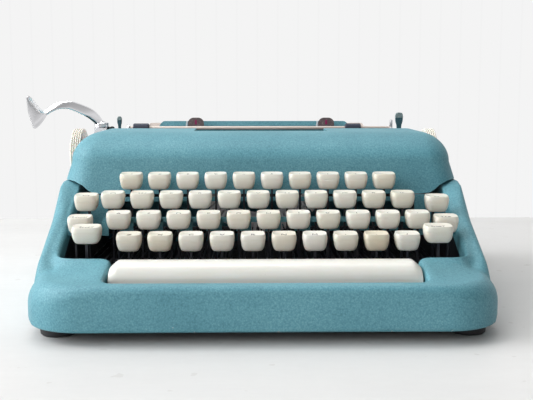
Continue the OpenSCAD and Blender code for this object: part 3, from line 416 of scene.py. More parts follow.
class Build:
    # Collects the points, in millimetres, and the faces of one piece's surfaces
    def __init__(self):
        self.points, self.faces, self.indexes, self.edges, self.count = [], [], [], [], 0

    def grid(self, points, closedRows=False, flip=False, index=0, edge=0.0):
        # Closed rings of points, joined in a loop, or in a tube whose ends are closed by a face
        rows, columns = points.shape[:2]
        faces = gridFaces(rows, columns, closedRows, True, flip=flip)
        if not closedRows:
            first, last = list(range(columns)), list(range((rows - 1) * columns, rows * columns))
            faces += [first, last[::-1]] if flip else [first[::-1], last]
        self.take(points.reshape(-1, 3), faces, index, edge)

    def take(self, points, faces, index=0, edge=0.0):
        # The faces count from the first of these points
        self.points.append(np.asarray(points, float))
        self.faces += [[self.count + i for i in face] for face in faces]
        self.indexes += [index] * len(faces)
        self.edges.append(np.broadcast_to(np.asarray(edge, float).ravel(), (len(points),)))
        self.count += len(points)

    def finish(self, name, materials, body, replaced, slot, sharpAngle=38, bevel=0.0):
        # One object that rides on a body and may stand for CAD nodes
        mesh = bpy.data.meshes.new(name)
        mesh.from_pydata(np.concatenate(self.points) * mm, [], self.faces)
        for material in materials:
            mesh.materials.append(material)
        mesh.polygons.foreach_set("material_index", np.array(self.indexes, np.int32))
        mesh.polygons.foreach_set("use_smooth", np.ones(len(self.faces), bool))
        edge = mesh.attributes.new("edge", "FLOAT", "POINT")
        edge.data.foreach_set("value", np.concatenate(self.edges).astype(np.float32))
        mesh.update()
        mesh.set_sharp_from_angle(angle=math.radians(sharpAngle))
        piece = bpy.data.objects.new(name, mesh)
        bpy.context.scene.collection.objects.link(piece)
        if bevel:
            rounded = piece.modifiers.new("bevel", "BEVEL")
            rounded.width = bevel * mm
            rounded.segments = 2
            rounded.angle_limit = math.radians(50)
            rounded.harden_normals = True
        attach(piece, body)
        if replaced:
            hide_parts(*replaced)
        return piece


def blendNumber(a, b, t):
    return a + (b - a) * t


def arcPoints(centre, radius, start, end, count):
    # Points on an arc of a circle, from one angle to another in degrees, both ends in
    a = np.radians(np.linspace(start, end, count))
    return np.stack([centre[0] + radius * np.cos(a), centre[1] + radius * np.sin(a)], 1)


def linePoints(start, end, count):
    # Evenly spaced points with the end left out
    t = np.arange(count)[:, None] / count
    return np.array(start) + (np.array(end) - np.array(start)) * t


def plate(build, outline, axis, start, thickness, index=0, edge=0.0):
    # A flat plate, thick from start along an axis, 0 for X or 1 for Y; its outline has the other coordinates
    outline = np.asarray(outline, float)
    near = np.insert(outline, axis, start, 1)
    u, v = outline.T
    n = len(outline)
    ring = list(range(n))
    if (np.sum(u * np.roll(v, -1) - np.roll(u, -1) * v) > 0) != (axis == 1):
        ring = ring[::-1]
    faces = [ring, [n + i for i in ring[::-1]]]
    faces += [[a, n + a, n + b, b] for a, b in zip(ring, ring[1:] + ring[:1])]
    build.take(np.concatenate([near, near + thickness * np.eye(3)[axis]]), faces, index, edge)


def plateAcross(build, outline, y, thickness, index=0, edge=0.0):
    plate(build, outline, 1, y, thickness, index, edge)


def plateAlong(build, outline, x, thickness, index=0):
    plate(build, outline, 0, x, thickness, index)


def block(build, low, high, index=0):
    corners = [(low[0], low[2]), (high[0], low[2]), (high[0], high[2]), (low[0], high[2])]
    plateAcross(build, corners, low[1], high[1] - low[1], index)


def turned(build, start, axis, profile, sides=32, index=0):
    # A profile of (distance along the axis, radius) pairs spun round an axis through start
    axis = np.array(axis, float) / np.linalg.norm(axis)
    helper = np.array([0, 0, 1.0]) if abs(axis[2]) < 0.9 else np.array([1.0, 0, 0])
    e1 = np.cross(axis, helper)
    e1 /= np.linalg.norm(e1)
    e2 = np.cross(axis, e1)
    profile = np.asarray(profile, float)
    a = np.arange(sides) * 2 * math.pi / sides
    ring = np.cos(a)[:, None] * e1 + np.sin(a)[:, None] * e2
    points = np.array(start) + profile[:, 0, None, None] * axis + profile[:, 1, None, None] * ring[None]
    build.grid(points, index=index)


def rod(build, start, end, radius, sides=20, index=0):
    # A round bar with softened ends
    start, end = np.array(start, float), np.array(end, float)
    length, k = np.linalg.norm(end - start), 0.25
    profile = [(0, radius - k), (0.3 * k, radius - 0.3 * k), (k, radius)]
    profile += [(length - along, r) for along, r in profile[::-1]]
    turned(build, start, end - start, profile, sides, index)


def splinePoints(points, count):
    # A smooth curve through the given points (Catmull-Rom), sampled evenly between each pair
    p = np.asarray(points, float)
    p = np.concatenate([[2 * p[0] - p[1]], p, [2 * p[-1] - p[-2]]])
    t = (np.arange(count) / count)[:, None]
    parts = [b + ((c - a) * t + (2 * a - 5 * b + 4 * c - d) * t ** 2 + (3 * (b - c) - a + d) * t ** 3) / 2
             for a, b, c, d in zip(p, p[1:], p[2:], p[3:])]
    return np.concatenate([*parts, p[-2:-1]])


def power(v, square):
    # Turns a circle's sine or cosine into a rounded square's
    return np.sign(v) * np.abs(v) ** (2 / square)


def strap(build, path, lean, sides, square):
    # A rounded strip along a path of x, y, z, width, thickness, its face leaning towards the typist
    centre, wide, thick = path[:, :3], path[:, 3:4] / 2, path[:, 4:5] / 2
    d = np.gradient(centre, axis=0) * [1, 0, 1]
    d /= np.linalg.norm(d, axis=1)[:, None]
    lean = math.radians(lean)
    side = np.stack([-d[:, 2], 0 * d[:, 0], d[:, 0]], 1) * math.sin(lean) - [0, math.cos(lean), 0]
    normal = np.cross(d, side)
    a = np.arange(sides) * 2 * math.pi / sides
    points = (centre[:, None] + side[:, None] * (wide * power(np.cos(a), square))[..., None]
              + normal[:, None] * (thick * power(np.sin(a), square))[..., None])
    build.grid(points)


keyboard = {"pitch": 19.05, "rise": 10.8, "frontRowY": -82.675, "frontRowZ": 52.9, "ahead": 12.3}
housing = {
    "wall": 1.6,
    "flange": 7.0,
    "frontCorner": 34.0,
    "backCorner": 22.0,
    "rim": 14.3,
    "taper": 2.4,
    "openingCorner": 14.0,
    "notchCorner": 6.0,
    "deckZ": 39.8,
    "apronZ": 32.5,
    "apronDepth": 13.0,
    "slope": 0.473,
    "shoulderZ": 78.3,
    "backWallZ": 62.0,
    "backLedge": 10.0,
    "lip": 11.0,
    "apronLip": 8.0,
    "backLip": 5.0,
    "barHalf": 91.7,
    "barOffset": 1.1,
    "flare": 1.5,
    # outer roll's width and height, and the inner edge's radius
    "apronRoll": (4.0, 4.0, 2.0),
    "frontRoll": (7.0, 7.0, 3.0),
    "cornerRoll": (13.0, 15.0, 3.0),
    "besideRoll": (7.0, 8.0, 3.0),
    "coveredRoll": (1.6, 1.6, 1.6),
    "backRoll": (4.0, 4.0, 2.0),
    "wornBottom": 0.75,
    "wornRoll": 0.22,
    "wornInner": 0.5,
}
halfWidth = housingHigh[0]
frontHalf = halfWidth - housing["taper"]
frontY, backY = housingLow[1], housingHigh[1]
openHalf = halfWidth - housing["rim"]
keyNames = sorted(name for name in nodes if name.startswith("key_"))
openFrontY = keyboard["frontRowY"] - keyboard["ahead"]
sideFrontY = openFrontY + housing["openingCorner"]
notchFrontY = frontY + housing["apronDepth"]
coverFrontY, coverBackY = coverLow[1], coverHigh[1]


def softMax(a, b, k):
    return k * np.log(np.exp((a - b) / k) + 1) + b


def softMin(a, b, k):
    return -softMax(-a, -b, k)


def climbZ(y, above, lowest, soft):
    # Level over the apron, a straight climb beside the keys, level under the cover
    climb = housing["deckZ"] + above + housing["slope"] * (y - sideFrontY)
    return softMin(softMax(climb, lowest, soft), housing["shoulderZ"], 1.2)


def crestZ(y):
    # The rim's crest
    return climbZ(y, 4.0, housing["apronZ"], 1.5)


def edgeZ(y):
    # The rim's inner edge
    return climbZ(y, 1.4, housing["deckZ"], 1.0)


def outerHit(q):
    # Where a ray from the middle through q meets the front or side of the housing's plan, its corner rounded
    r = housing["frontCorner"]
    u = q / np.linalg.norm(q, axis=1)[:, None]
    cx, cy = frontHalf - r, frontY + r
    atFront = u * (frontY / u[:, 1])[:, None]
    safe = np.where(u[:, 0] > 1e-6, u[:, 0], 1.0)
    atSide = u * (frontHalf / safe)[:, None]
    b = u[:, 0] * cx + u[:, 1] * cy
    atCorner = u * (b + np.sqrt(np.maximum(b * b - cx * cx - cy * cy + r * r, 0)))[:, None]
    front = (atFront[:, 0] <= cx)[:, None]
    side = ((u[:, 0] > 1e-6) & (atSide[:, 1] >= cy))[:, None]
    return np.where(front, atFront, np.where(side, atSide, atCorner))


def sideRoll(start, full, t):
    # The outer roll beside the keys: it grows, then shrinks to meet the cover's wall
    grown = blendNumber(start, full, np.minimum(1, 2 * t))
    return np.where(t < 0.6, grown, blendNumber(full, housing["coveredRoll"], (t - 0.6) / 0.4))


def rimStations(bar):
    # Half of the rim, from the middle of the apron to the middle of the back. The space bar's slot ends at bar.
    # The rows are outer x y, inner x y, crest, edge, roll width, roll height, inner radius, lip
    h = housing
    r = h["notchCorner"]
    inner = np.concatenate([
        linePoints([0, notchFrontY], [bar - r, notchFrontY], 24),
        arcPoints([bar - r, notchFrontY + r], r, -90, 0, 9),
        linePoints([bar, notchFrontY + r + 1], [bar, openFrontY - r], 10),
        arcPoints([bar + r, openFrontY - r], r, 180, 90, 9),
    ])
    corner = arcPoints([openHalf - h["openingCorner"], sideFrontY], h["openingCorner"], -90, 0, 15)
    run = (inner[:, 1] - notchFrontY) / (openFrontY - notchFrontY)
    edge = np.concatenate([blendNumber(h["apronZ"], h["deckZ"], np.clip(run, 0, 1)), edgeZ(corner[:, 1])])
    q = np.concatenate([inner, corner])
    p = outerHit(q)
    onDeck = np.clip((np.linalg.norm(q - p, axis=1) - h["apronDepth"]) / 8, 0, 1)[:, None]
    atCorner = np.clip((p[:, :1] - (frontHalf - h["frontCorner"])) / h["frontCorner"], 0, 1)
    apronRoll, frontRoll, cornerRoll, besideRoll = (
        np.array(h[k]) for k in ("apronRoll", "frontRoll", "cornerRoll", "besideRoll"))
    rolls = blendNumber(apronRoll, blendNumber(frontRoll, cornerRoll, atCorner), onDeck)
    front = np.column_stack([p, q, crestZ(p[:, 1]), edge, rolls, np.full(len(q), h["apronLip"])])
    t = np.arange(1, 31) / 30
    y, innerY = blendNumber(p[-1, 1], coverFrontY, t), blendNumber(sideFrontY, coverFrontY, t)
    rolls = sideRoll(np.append(rolls[-1, :2], besideRoll[2]), besideRoll, t[:, None])
    outer = [blendNumber(p[-1, 0], halfWidth, t), y]
    inner = [openHalf + h["flare"] * t, innerY]
    side = np.column_stack([*outer, *inner, crestZ(y), edgeZ(innerY), rolls, np.full(30, h["lip"])])
    innerX = openHalf + h["flare"]

    def rows(outer, inner, crest, edge, roll, lip):
        heights = [np.full(len(outer), z) for z in (crest, edge)]
        return np.column_stack([outer, inner, *heights, np.tile([*roll, lip], (len(outer), 1))])

    def straight(y, *rest):
        return rows(*(np.column_stack([np.full(len(y), x), y]) for x in (halfWidth, innerX)), *rest)

    y = blendNumber(coverFrontY, coverBackY - 0.5, np.array([0.1, 0.2, 0.35, 0.5, 0.75, 1]))
    covered = straight(y, crestZ(y), edgeZ(y), h["coveredRoll"], h["lip"])
    cornerY, ledge = backY - h["backCorner"], h["backLedge"]
    low = (h["backWallZ"], h["backWallZ"], h["backRoll"], h["backLip"])
    bay = straight(np.linspace(coverBackY + 1, cornerY, 5), *low)
    outer = arcPoints([halfWidth - h["backCorner"], cornerY], h["backCorner"], 0, 90, 13)[1:]
    r = h["backCorner"] - ledge
    inner = arcPoints([innerX - r, backY - ledge - r], r, 0, 90, 13)[1:]
    t = np.linspace(0, 1, 9)[1:, None]
    back = rows(*(np.concatenate([arc, arc[-1] * (1 - t) + np.array([0, y]) * t])
                  for arc, y in ((outer, backY), (inner, backY - ledge))), *low)
    return np.concatenate([front, side, covered, bay, back])


def joinHalves(right, left):
    other = left[-2:0:-1].copy()
    other[:, [0, 2]] *= -1
    return np.concatenate([right, other])


def sectionPoints(start, end, across, up):
    # Rows of points, each row in the upright plane through its start and end in plan
    u = (end - start) / np.linalg.norm(end - start, axis=1)[:, None]
    return np.dstack([start[:, :1] + u[:, :1] * across, start[:, 1:] + u[:, 1:] * across, up])


def rimSections(s):
    # Every station's outline: up the wall, a quarter-ellipse roll, across the rim, down the lip, back inside
    h = housing
    w, z0, f = h["wall"], housingLow[2], h["flange"]
    p, q, zc, ze, rh, rv, ri, lip = s[:, 0:2], s[:, 2:4], *(s[:, i:i + 1] for i in range(4, 10))
    l = np.linalg.norm(q - p, axis=1)[:, None]
    one = np.ones_like(l)
    a = np.radians(np.linspace(0, 90, 10))[None, :]
    b = np.radians(np.linspace(0, 90, 7))[None, :]
    across = np.linspace(0, 1, 6)[None, 1:-1]
    rollS, rollZ = rh * (1 - np.cos(a)), zc - rv * (1 - np.sin(a))
    topS = blendNumber(rh, l - ri, across)
    topZ = blendNumber(zc, ze, across * across * (1.6 - 0.6 * across))
    turnS, turnZ = l - ri + ri * np.sin(b), ze - ri + ri * np.cos(b)
    back = np.radians(np.linspace(90, 0, 6))[None, :]
    columns = [
        (f * one, z0 * one), (1.4 * one, z0 * one), (0.35 * one, (z0 + 0.9) * one), (0 * one, (z0 + 3) * one),
        (0 * one, blendNumber(z0 + 3, zc - rv, 0.5)), (rollS, rollZ), (topS, topZ), (turnS, turnZ),
        (l, ze - lip), (l - w, ze - lip), (l - w, ze - ri - 0.5 * w), (l - ri - 0.4 * w, ze - w),
        (w + (rh - 0.6 * w) * (1 - np.cos(back)), zc - w - (rv - w) * (1 - np.sin(back))),
        (w * one, (z0 + w) * one), (f * one, (z0 + w) * one),
    ]
    across, up = (np.concatenate([c[i] for c in columns], 1) for i in (0, 1))
    worn = np.zeros(across.shape)
    n = 5 + 10 + 4  # the bottom and wall, the roll, and the top come before the inner edge
    worn[:, 1:4], worn[:, 8:14], worn[:, n:n + 7] = h["wornBottom"], h["wornRoll"], h["wornInner"]
    return sectionPoints(p, q, across, up), worn


def keyMiddles(row):
    # Where the middles between the neighbouring keys of a row lie
    x = sorted(keyCentre(name)[0] for name in keyNames if keyRow(name) == row)
    return [(a + b) / 2 for a, b in zip(x, x[1:])]


guard = {"endX": 106.3, "lowZ": 41.0, "high": 2.8, "step": 1.5, "below": 2.0, "ahead": 3.0, "thick": 1.5}
comb = {"back": 7.45, "endX": 99.3, "tooth": 5.0, "toothHigh": 8.0, "high": 3.2, "below": 4.5, "lift": 5.5,
        "foot": 4.5, "thick": 1.0, "worn": 0.1}


def mirrored(half):
    # Closes an outline that is given at the right from bottom to top
    return [*half, *((-x, z) for x, z in half[::-1])]


def makeHousing(finish):
    build = Build()
    h, b, c = housing, guard, comb
    right, left = rimStations(h["barHalf"] + h["barOffset"]), rimStations(h["barHalf"] - h["barOffset"])
    points, worn = rimSections(joinHalves(right, left))
    build.grid(points, closedRows=True, flip=True, edge=worn)
    reach = openHalf + h["flare"] + h["wall"] / 2
    x, top, low = b["endX"], coverLow[2] - b["below"], b["lowZ"]
    high = top + b["step"]
    right = [(x, top - b["high"]), (x, low), (reach, low), (reach, high), (x, high), (x, top)]
    plateAcross(build, mirrored(right), coverFrontY - b["ahead"], b["thick"])

    # A comb closes the view behind the second row of keys, one tooth between each pair of the third row
    y, x, tooth = keyboard["frontRowY"] + keyboard["pitch"] + c["back"], c["endX"], c["tooth"]
    low, high = edgeZ(y) - h["lip"] + c["lift"], keyboard["frontRowZ"] + keyboard["rise"] - c["below"]
    foot = low + c["foot"]
    right = [(x, high - c["high"]), (x, low), (reach, low), (reach, foot), (x + 6, foot), (x + 3, high)]
    plateAcross(build, mirrored(right), y, c["thick"])
    top, low = high - 1, high - 1 - c["toothHigh"]
    for x in keyMiddles(2):
        outline = [(x - tooth, low), (x + tooth, low), (x + tooth, top), (x - tooth, top)]
        plateAcross(build, outline, y, c["thick"], edge=c["worn"])
    build.finish("housing_shell", [finish], "frame", ["lower_housing"], "teal_crinkle_paint")
    print("lower housing made")


cover = {
    "wall": 1.6,
    "corner": 22.0,
    "topCorner": 4.0,
    "frontRoll": 43.0,
    "sideRoll": 24.0,
    "rollZ": 91.0,
    "lean": 5.2,
    "notchHalf": 50.0,
    "notchDepth": 38.0,
    "backRise": 1.0,
    "riseRun": 42.0,
    "gap": 0.6,
    "hingeX": 105.0,
    "hingeDrop": 7.0,
    "hingeAhead": 2.0,
    "pin": 1.5,
    "wornFoot": 0.6,
    "wornNotch": 0.5,
}
coverSteps = 22


def coverStations():
    # Foot x y and roll-end x y of the right half of the cover, from the middle of the front to the back
    c = cover
    half = coverHigh[0]
    r, tr = c["corner"], c["topCorner"]
    bx, tx, ty = half - r, half - c["sideRoll"] - tr, coverFrontY + c["frontRoll"]
    ca = arcPoints([bx, coverFrontY + r], r, -90, 0, 25)
    ta = arcPoints([tx, ty + tr], tr, -90, 0, 25)
    t = np.linspace(0, 1, 21)[:-1, None]
    front = np.hstack([t * [bx, 0] + [0, coverFrontY], t * [tx, 0] + [0, ty]])
    t = np.linspace(0, 1, 10)[1:, None]
    side = np.hstack([ca[-1] * (1 - t) + np.array([half, coverBackY]) * t,
                      ta[-1] * (1 - t) + np.array([half - c["sideRoll"], coverBackY]) * t])
    return np.concatenate([front, np.hstack([ca, ta]), side])


def coverEdgeZ(b):
    # The foot hangs level over the keys and follows the rims at the sides, one gap above them
    x, y = np.abs(b[:, 0]), b[:, 1] + cover["wall"] + 0.6
    over = np.clip((x - openHalf + 1) / (housing["rim"] * 0.5), 0, 1)
    near = np.clip((x - openHalf + 10) / 9, 0, 1)
    seat = blendNumber(edgeZ(y), crestZ(y), over) + cover["gap"]
    return blendNumber(coverLow[2], np.maximum(coverLow[2], seat), near ** 1.4)


def coverTopZ(y):
    # The top climbs a little from the end of the front's roll to the back
    climbed = np.clip((y - coverFrontY - cover["frontRoll"]) / cover["riseRun"], 0, 1)
    return coverHigh[2] + cover["backRise"] * climbed


def coverSections(s, inset):
    # A straight foot, then a quarter ellipse from the foot's plan to the roll's end
    b, t = s[:, 0:2], s[:, 2:4]
    l = np.linalg.norm(t - b, axis=1)[:, None]
    start = cover["lean"] + inset
    a = np.radians(np.linspace(0, 90, coverSteps))[None, :]
    along = np.concatenate([np.full_like(l, inset), l - (l - start) * np.cos(a)], 1)
    top = coverTopZ(t[:, 1:2]) - inset
    rise = blendNumber(cover["rollZ"], top, np.sin(a))
    return sectionPoints(b, t, along, np.column_stack([coverEdgeZ(b), rise]))


def makeCover(finish, steel):
    # The roll outside and inside, and a lid of each wall's face with the notch cut into its back
    half = coverStations()
    stations = np.concatenate([half[:0:-1] * [-1, 1, -1, 1], half])
    d = cover
    m, n = len(stations), coverSteps + 1
    outer, inner = coverSections(stations, 0.0), coverSections(stations, d["wall"])
    h, back = d["notchHalf"], coverBackY - d["notchDepth"]
    right = [[h, coverBackY], [h, back + 5], [h - 1.5, back + 1.5], [h - 5, back]]
    notch = np.array(mirrored(right))
    k, c = len(notch), m * n
    lids = [np.column_stack([notch, coverTopZ(notch[:, 1]) - drop]) for drop in (0, d["wall"])]
    points = np.concatenate([outer.reshape(-1, 3), inner.reshape(-1, 3), *lids])
    rimOut = [i * n + n - 1 for i in range(m)] + [2 * c + i for i in range(k)]
    rimIn = [c + i * n + n - 1 for i in range(m)] + [2 * c + k + i for i in range(k)]
    faces = gridFaces(m, n, flip=True) + gridFaces(m, n, first=c) + [rimOut, rimIn[::-1]]
    faces += [[i * n, c + i * n, c + (i + 1) * n, (i + 1) * n] for i in range(m - 1)]
    faces += [[j, j + 1, c + j + 1, c + j] for j in range(n - 1)]
    last = (m - 1) * n
    faces += [[last + j, c + last + j, c + last + j + 1, last + j + 1] for j in range(n - 1)]
    for i in range(m - 1, m + k):
        j = (i + 1) % (m + k)
        faces.append([rimOut[i], rimIn[i], rimIn[j], rimOut[j]])
    worn = np.zeros(len(points))
    worn[0:c:n] = d["wornFoot"]
    worn[2 * c:2 * c + k] = d["wornNotch"]
    build = Build()
    build.take(points, faces, edge=worn)
    y, z, top = coverBackY - d["hingeAhead"], coverHigh[2] - d["hingeDrop"], coverHigh[2] - d["wall"] / 2
    for side in (-1, 1):
        x = side * d["hingeX"]
        plateAlong(build, [(y - 7, top), (y - 3, z - 2), (y + 1, z - 2.5), (y + 2, z), (y + 1.6, top)],
                   x - side * 2.5 - 1.5, 3, 1)
        rod(build, [x - side * 4, y, z], [x + side * 3.5, y, z], d["pin"], 20, 1)
    build.finish("cover_shell", [finish, steel], "ribbon_cover", ["ribbon_cover"], "teal_crinkle_paint")
    print("ribbon cover made")


keytop = {
    "width": 15.3,
    "depth": 12.8,
    "height": 10.5,
    "tilt": 4.5,
    "square": 4.2,
    "dish": 1.1,
    "dishRings": 8,
    "sides": 44,
    # share of the height, share of the width: rounded foot, belly, a groove, widest belt, bevelled brim
    "profile": [(0.0, 0.3), (0.0, 0.66), (0.01, 0.71), (0.035, 0.762), (0.09, 0.82), (0.17, 0.873),
                (0.28, 0.92), (0.40, 0.953), (0.55, 0.982), (0.592, 0.986), (0.602, 0.962), (0.622, 0.962),
                (0.632, 0.99), (0.70, 1.0), (0.78, 1.0), (0.83, 0.992), (0.90, 0.972), (0.965, 0.95),
                (0.99, 0.935), (1.0, 0.905)],
}
lever = {"thick": 1.2, "high": 5.0, "stem": 4.0, "sunk": 1.5, "frontZ": 22.0, "rodY": 109.975, "rodZ": 25.0,
         "eye": 4.2}
legends = {"comma": ",", "period": ".", "slash": "/", "semicolon": ";", "quote": "'", "fraction": "\u00bd",
           "hyphen": "-", **{number: over + "\n" + number for number, over in zip("234567890", "\"#$%_&'()")}}
arrow = [(-0.5, 0), (-0.15, -0.27), (-0.15, -0.09), (0.5, -0.09), (0.5, 0.09), (-0.15, 0.09), (-0.15, 0.27)]
legend = {"size": 5.0, "small": 3.6, "spacing": 0.72, "above": 0.06, "thick": 0.3}
keyShades = {"key_period": 0.85, "key_x": 0.35, "key_n": 0.3, "key_slash": -0.25, "key_comma": 0.25}
# legend, x, y, x of the lever
sideKeys = {
    "shift_lock_key": ("LOCK", -115.3, -66.525, -118.0),
    "margin_release_key": ("MR", -115.3, -44.575, -113.5),
    "backspace_key": ("arrow", 115.3, -44.575, 113.0),
    "tabulator_key": ("TAB", 116.5, -66.525, 118.0),
}
shift = {"x": 108.175, "width": 17.9, "thick": 1.6, "reach": 14.0, "rodBack": 13.0, "rodX": 108.2, "rodR": 2.0}


def legendMesh(text, size):
    # Flat letters as points in the plane and faces, centred on the origin
    if text == "arrow":
        return np.array(arrow) * size, [list(range(len(arrow)))]
    curve = bpy.data.curves.new("legend", "FONT")
    curve.body = text
    curve.size = size
    curve.align_x, curve.align_y = "CENTER", "CENTER"
    curve.resolution_u = 3
    curve.space_line = legend["spacing"]
    holder = bpy.data.objects.new("legend", curve)
    bpy.context.scene.collection.objects.link(holder)
    bpy.context.view_layer.update()
    mesh = bpy.data.meshes.new_from_object(holder.evaluated_get(bpy.context.evaluated_depsgraph_get()))
    flat = np.empty(len(mesh.vertices) * 3)
    mesh.vertices.foreach_get("co", flat)
    faces = [list(face.vertices) for face in mesh.polygons]
    bpy.data.objects.remove(holder)
    bpy.data.meshes.remove(mesh)
    flat = flat.reshape(-1, 3)[:, :2]
    return flat - (flat.max(0) + flat.min(0)) / 2, faces


def addKeytop(build, x, y, z, width, text, size):
    # A rounded-square tub with a dished top; its top's middle lies at x, y, z and tips towards the typist
    k = keytop
    profile, square = np.array(k["profile"]), k["square"]
    a = (np.arange(k["sides"]) + 0.5) * 2 * math.pi / k["sides"]
    brim = profile[-1, 1]
    dish = np.linspace(brim, 0.03, k["dishRings"])[1:]
    scale = np.concatenate([profile[:, 1], dish])[:, None]
    height = np.concatenate([(profile[:, 0] - 1) * k["height"], -k["dish"] * (1 - (dish / brim) ** 2)])
    half = np.array([width, k["depth"]]) / 2
    points = np.empty((len(scale), len(a), 3))
    points[..., 0] = half[0] * scale * power(np.cos(a), square)
    points[..., 1] = half[1] * scale * power(np.sin(a), square)
    points[..., 2] = height[:, None]
    tip = math.radians(k["tilt"])
    turn = np.array([[1, 0, 0], [0, math.cos(tip), math.sin(tip)], [0, -math.sin(tip), math.cos(tip)]])
    build.grid(points @ turn + [x, y, z])
    flat, faces = legendMesh(text, size)
    share = ((np.abs(flat) / half) ** square).sum(1) ** (1 / square) / brim
    marks = np.column_stack([flat, legend["above"] - k["dish"] * (1 - share ** 2)])
    n = len(marks)
    ways = {(a, b) for face in faces for a, b in zip(face, face[1:] + face[:1])}
    faces = faces + [[i + n for i in face[::-1]] for face in faces]
    faces += [[b, a, a + n, b + n] for a, b in ways if (b, a) not in ways]
    build.take(np.concatenate([marks, marks - [0, 0, legend["thick"]]]) @ turn + [x, y, z], faces, 2)


def addLever(build, x, y, top, thick=lever["thick"], reach=0.0):
    # Stem and bar in one strip, with a round eye on the fulcrum rod
    s = lever
    rodY, rodZ = s["rodY"], s["rodZ"]
    z = blendNumber(s["frontZ"], rodZ, (y - keyboard["frontRowY"]) / (rodY - keyboard["frontRowY"]))
    half, stem, end = s["high"] / 2, s["stem"] / 2, rodY + reach
    foot = arcPoints([y - stem + 2.2, z - half + 2.2], 2.2, 180, 270, 5)
    heel = arcPoints([y + stem + 2.0, z + half + 2.0], 2.0, 270, 180, 5)
    bar = [[rodY, rodZ - half], [end, rodZ - half], [end, rodZ + half], [rodY, rodZ + half]]
    outline = np.concatenate([[[y - stem, top]], foot, bar, heel, [[y + stem, top]]])
    plateAlong(build, outline, x - thick / 2, thick, 1)
    side = thick / 2 + 0.15
    rod(build, [x - side, rodY, rodZ], [x + side, rodY, rodZ], s["eye"], 20, 1)


def addKey(build, x, y, z, text, size=legend["small"], width=keytop["width"], leverX=None, **strip):
    addKeytop(build, x, y, z, width, text, size)
    addLever(build, x if leverX is None else leverX, y, z - keytop["height"] + lever["sunk"], **strip)


def finishKey(build, name, body, tone, materials):
    # Each key's body and CAD node have one name
    piece = build.finish(name, materials, body, [body], "cream_plastic", 34)
    shade = piece.data.attributes.new("tone", "FLOAT", "POINT")
    shade.data.foreach_set("value", np.full(build.count, tone, np.float32))


def keyCentre(node):
    # Where a key's top stands in x and z, read from its packed box
    low, high = boxOf(node)
    rise = math.sin(math.radians(keytop["tilt"])) * keytop["depth"] / 2 * keytop["profile"][-1][1]
    return (low[0] + high[0]) / 2, high[2] - rise * 0.9


def keyRow(name):
    return round((keyCentre(name)[1] - keyboard["frontRowZ"]) / keyboard["rise"])


def makeKeys(plastic, dark, ink):
    rng = np.random.default_rng(7)
    materials = [plastic, dark, ink]
    for name in keyNames:
        word = name[4:]
        x, z = keyCentre(name)
        y = keyboard["frontRowY"] + keyRow(name) * keyboard["pitch"]
        build = Build()
        text = legends.get(word, word.upper())
        addKey(build, x, y, z, text, legend["small" if "\n" in text else "size"])
        tone = keyShades.get(name, float(rng.uniform(-0.3, 0.3)))
        finishKey(build, "keycap_" + word, name, tone, materials)
    for name, (text, x, y, leverX) in sideKeys.items():
        build = Build()
        addKey(build, x, y, keyCentre(name)[1], text, leverX=leverX)
        finishKey(build, name + "_cap", name, float(rng.uniform(-0.2, 0.3)), materials)
    build = Build()
    s = shift
    for x in (-s["x"], s["x"]):
        addKey(build, x, keyboard["frontRowY"], keyCentre("shift_keys")[1], "SHIFT", width=s["width"],
               thick=s["thick"], reach=s["reach"])
    y = lever["rodY"] + s["rodBack"]
    rod(build, [-s["rodX"], y, lever["rodZ"]], [s["rodX"], y, lever["rodZ"]], s["rodR"], 16, 1)
    finishKey(build, "shift_pair", "shift_keys", 0.0, materials)
    print("keys made:", len(keyNames) + len(sideKeys) + 1)


spaceBar = {
    "half": 90.5,
    "offset": 1.1,
    "depth": 17.0,
    "height": 14.5,
    "crown": 0.72,  # share of the height that rounds over to the front
    "backRound": 1.6,
    "chamfer": 3.6,
    "chamferRun": 4.6,
    "chamferBend": 1.25,
    "endRun": 6.0,
    "armX": 103.475,
    "arm": 1.5,
    "footX": 65.2,
    "foot": (8.0, 2.0),
    "rodDrop": 3.0,
    "rodR": 2.0,
    "tone": -0.6,
}


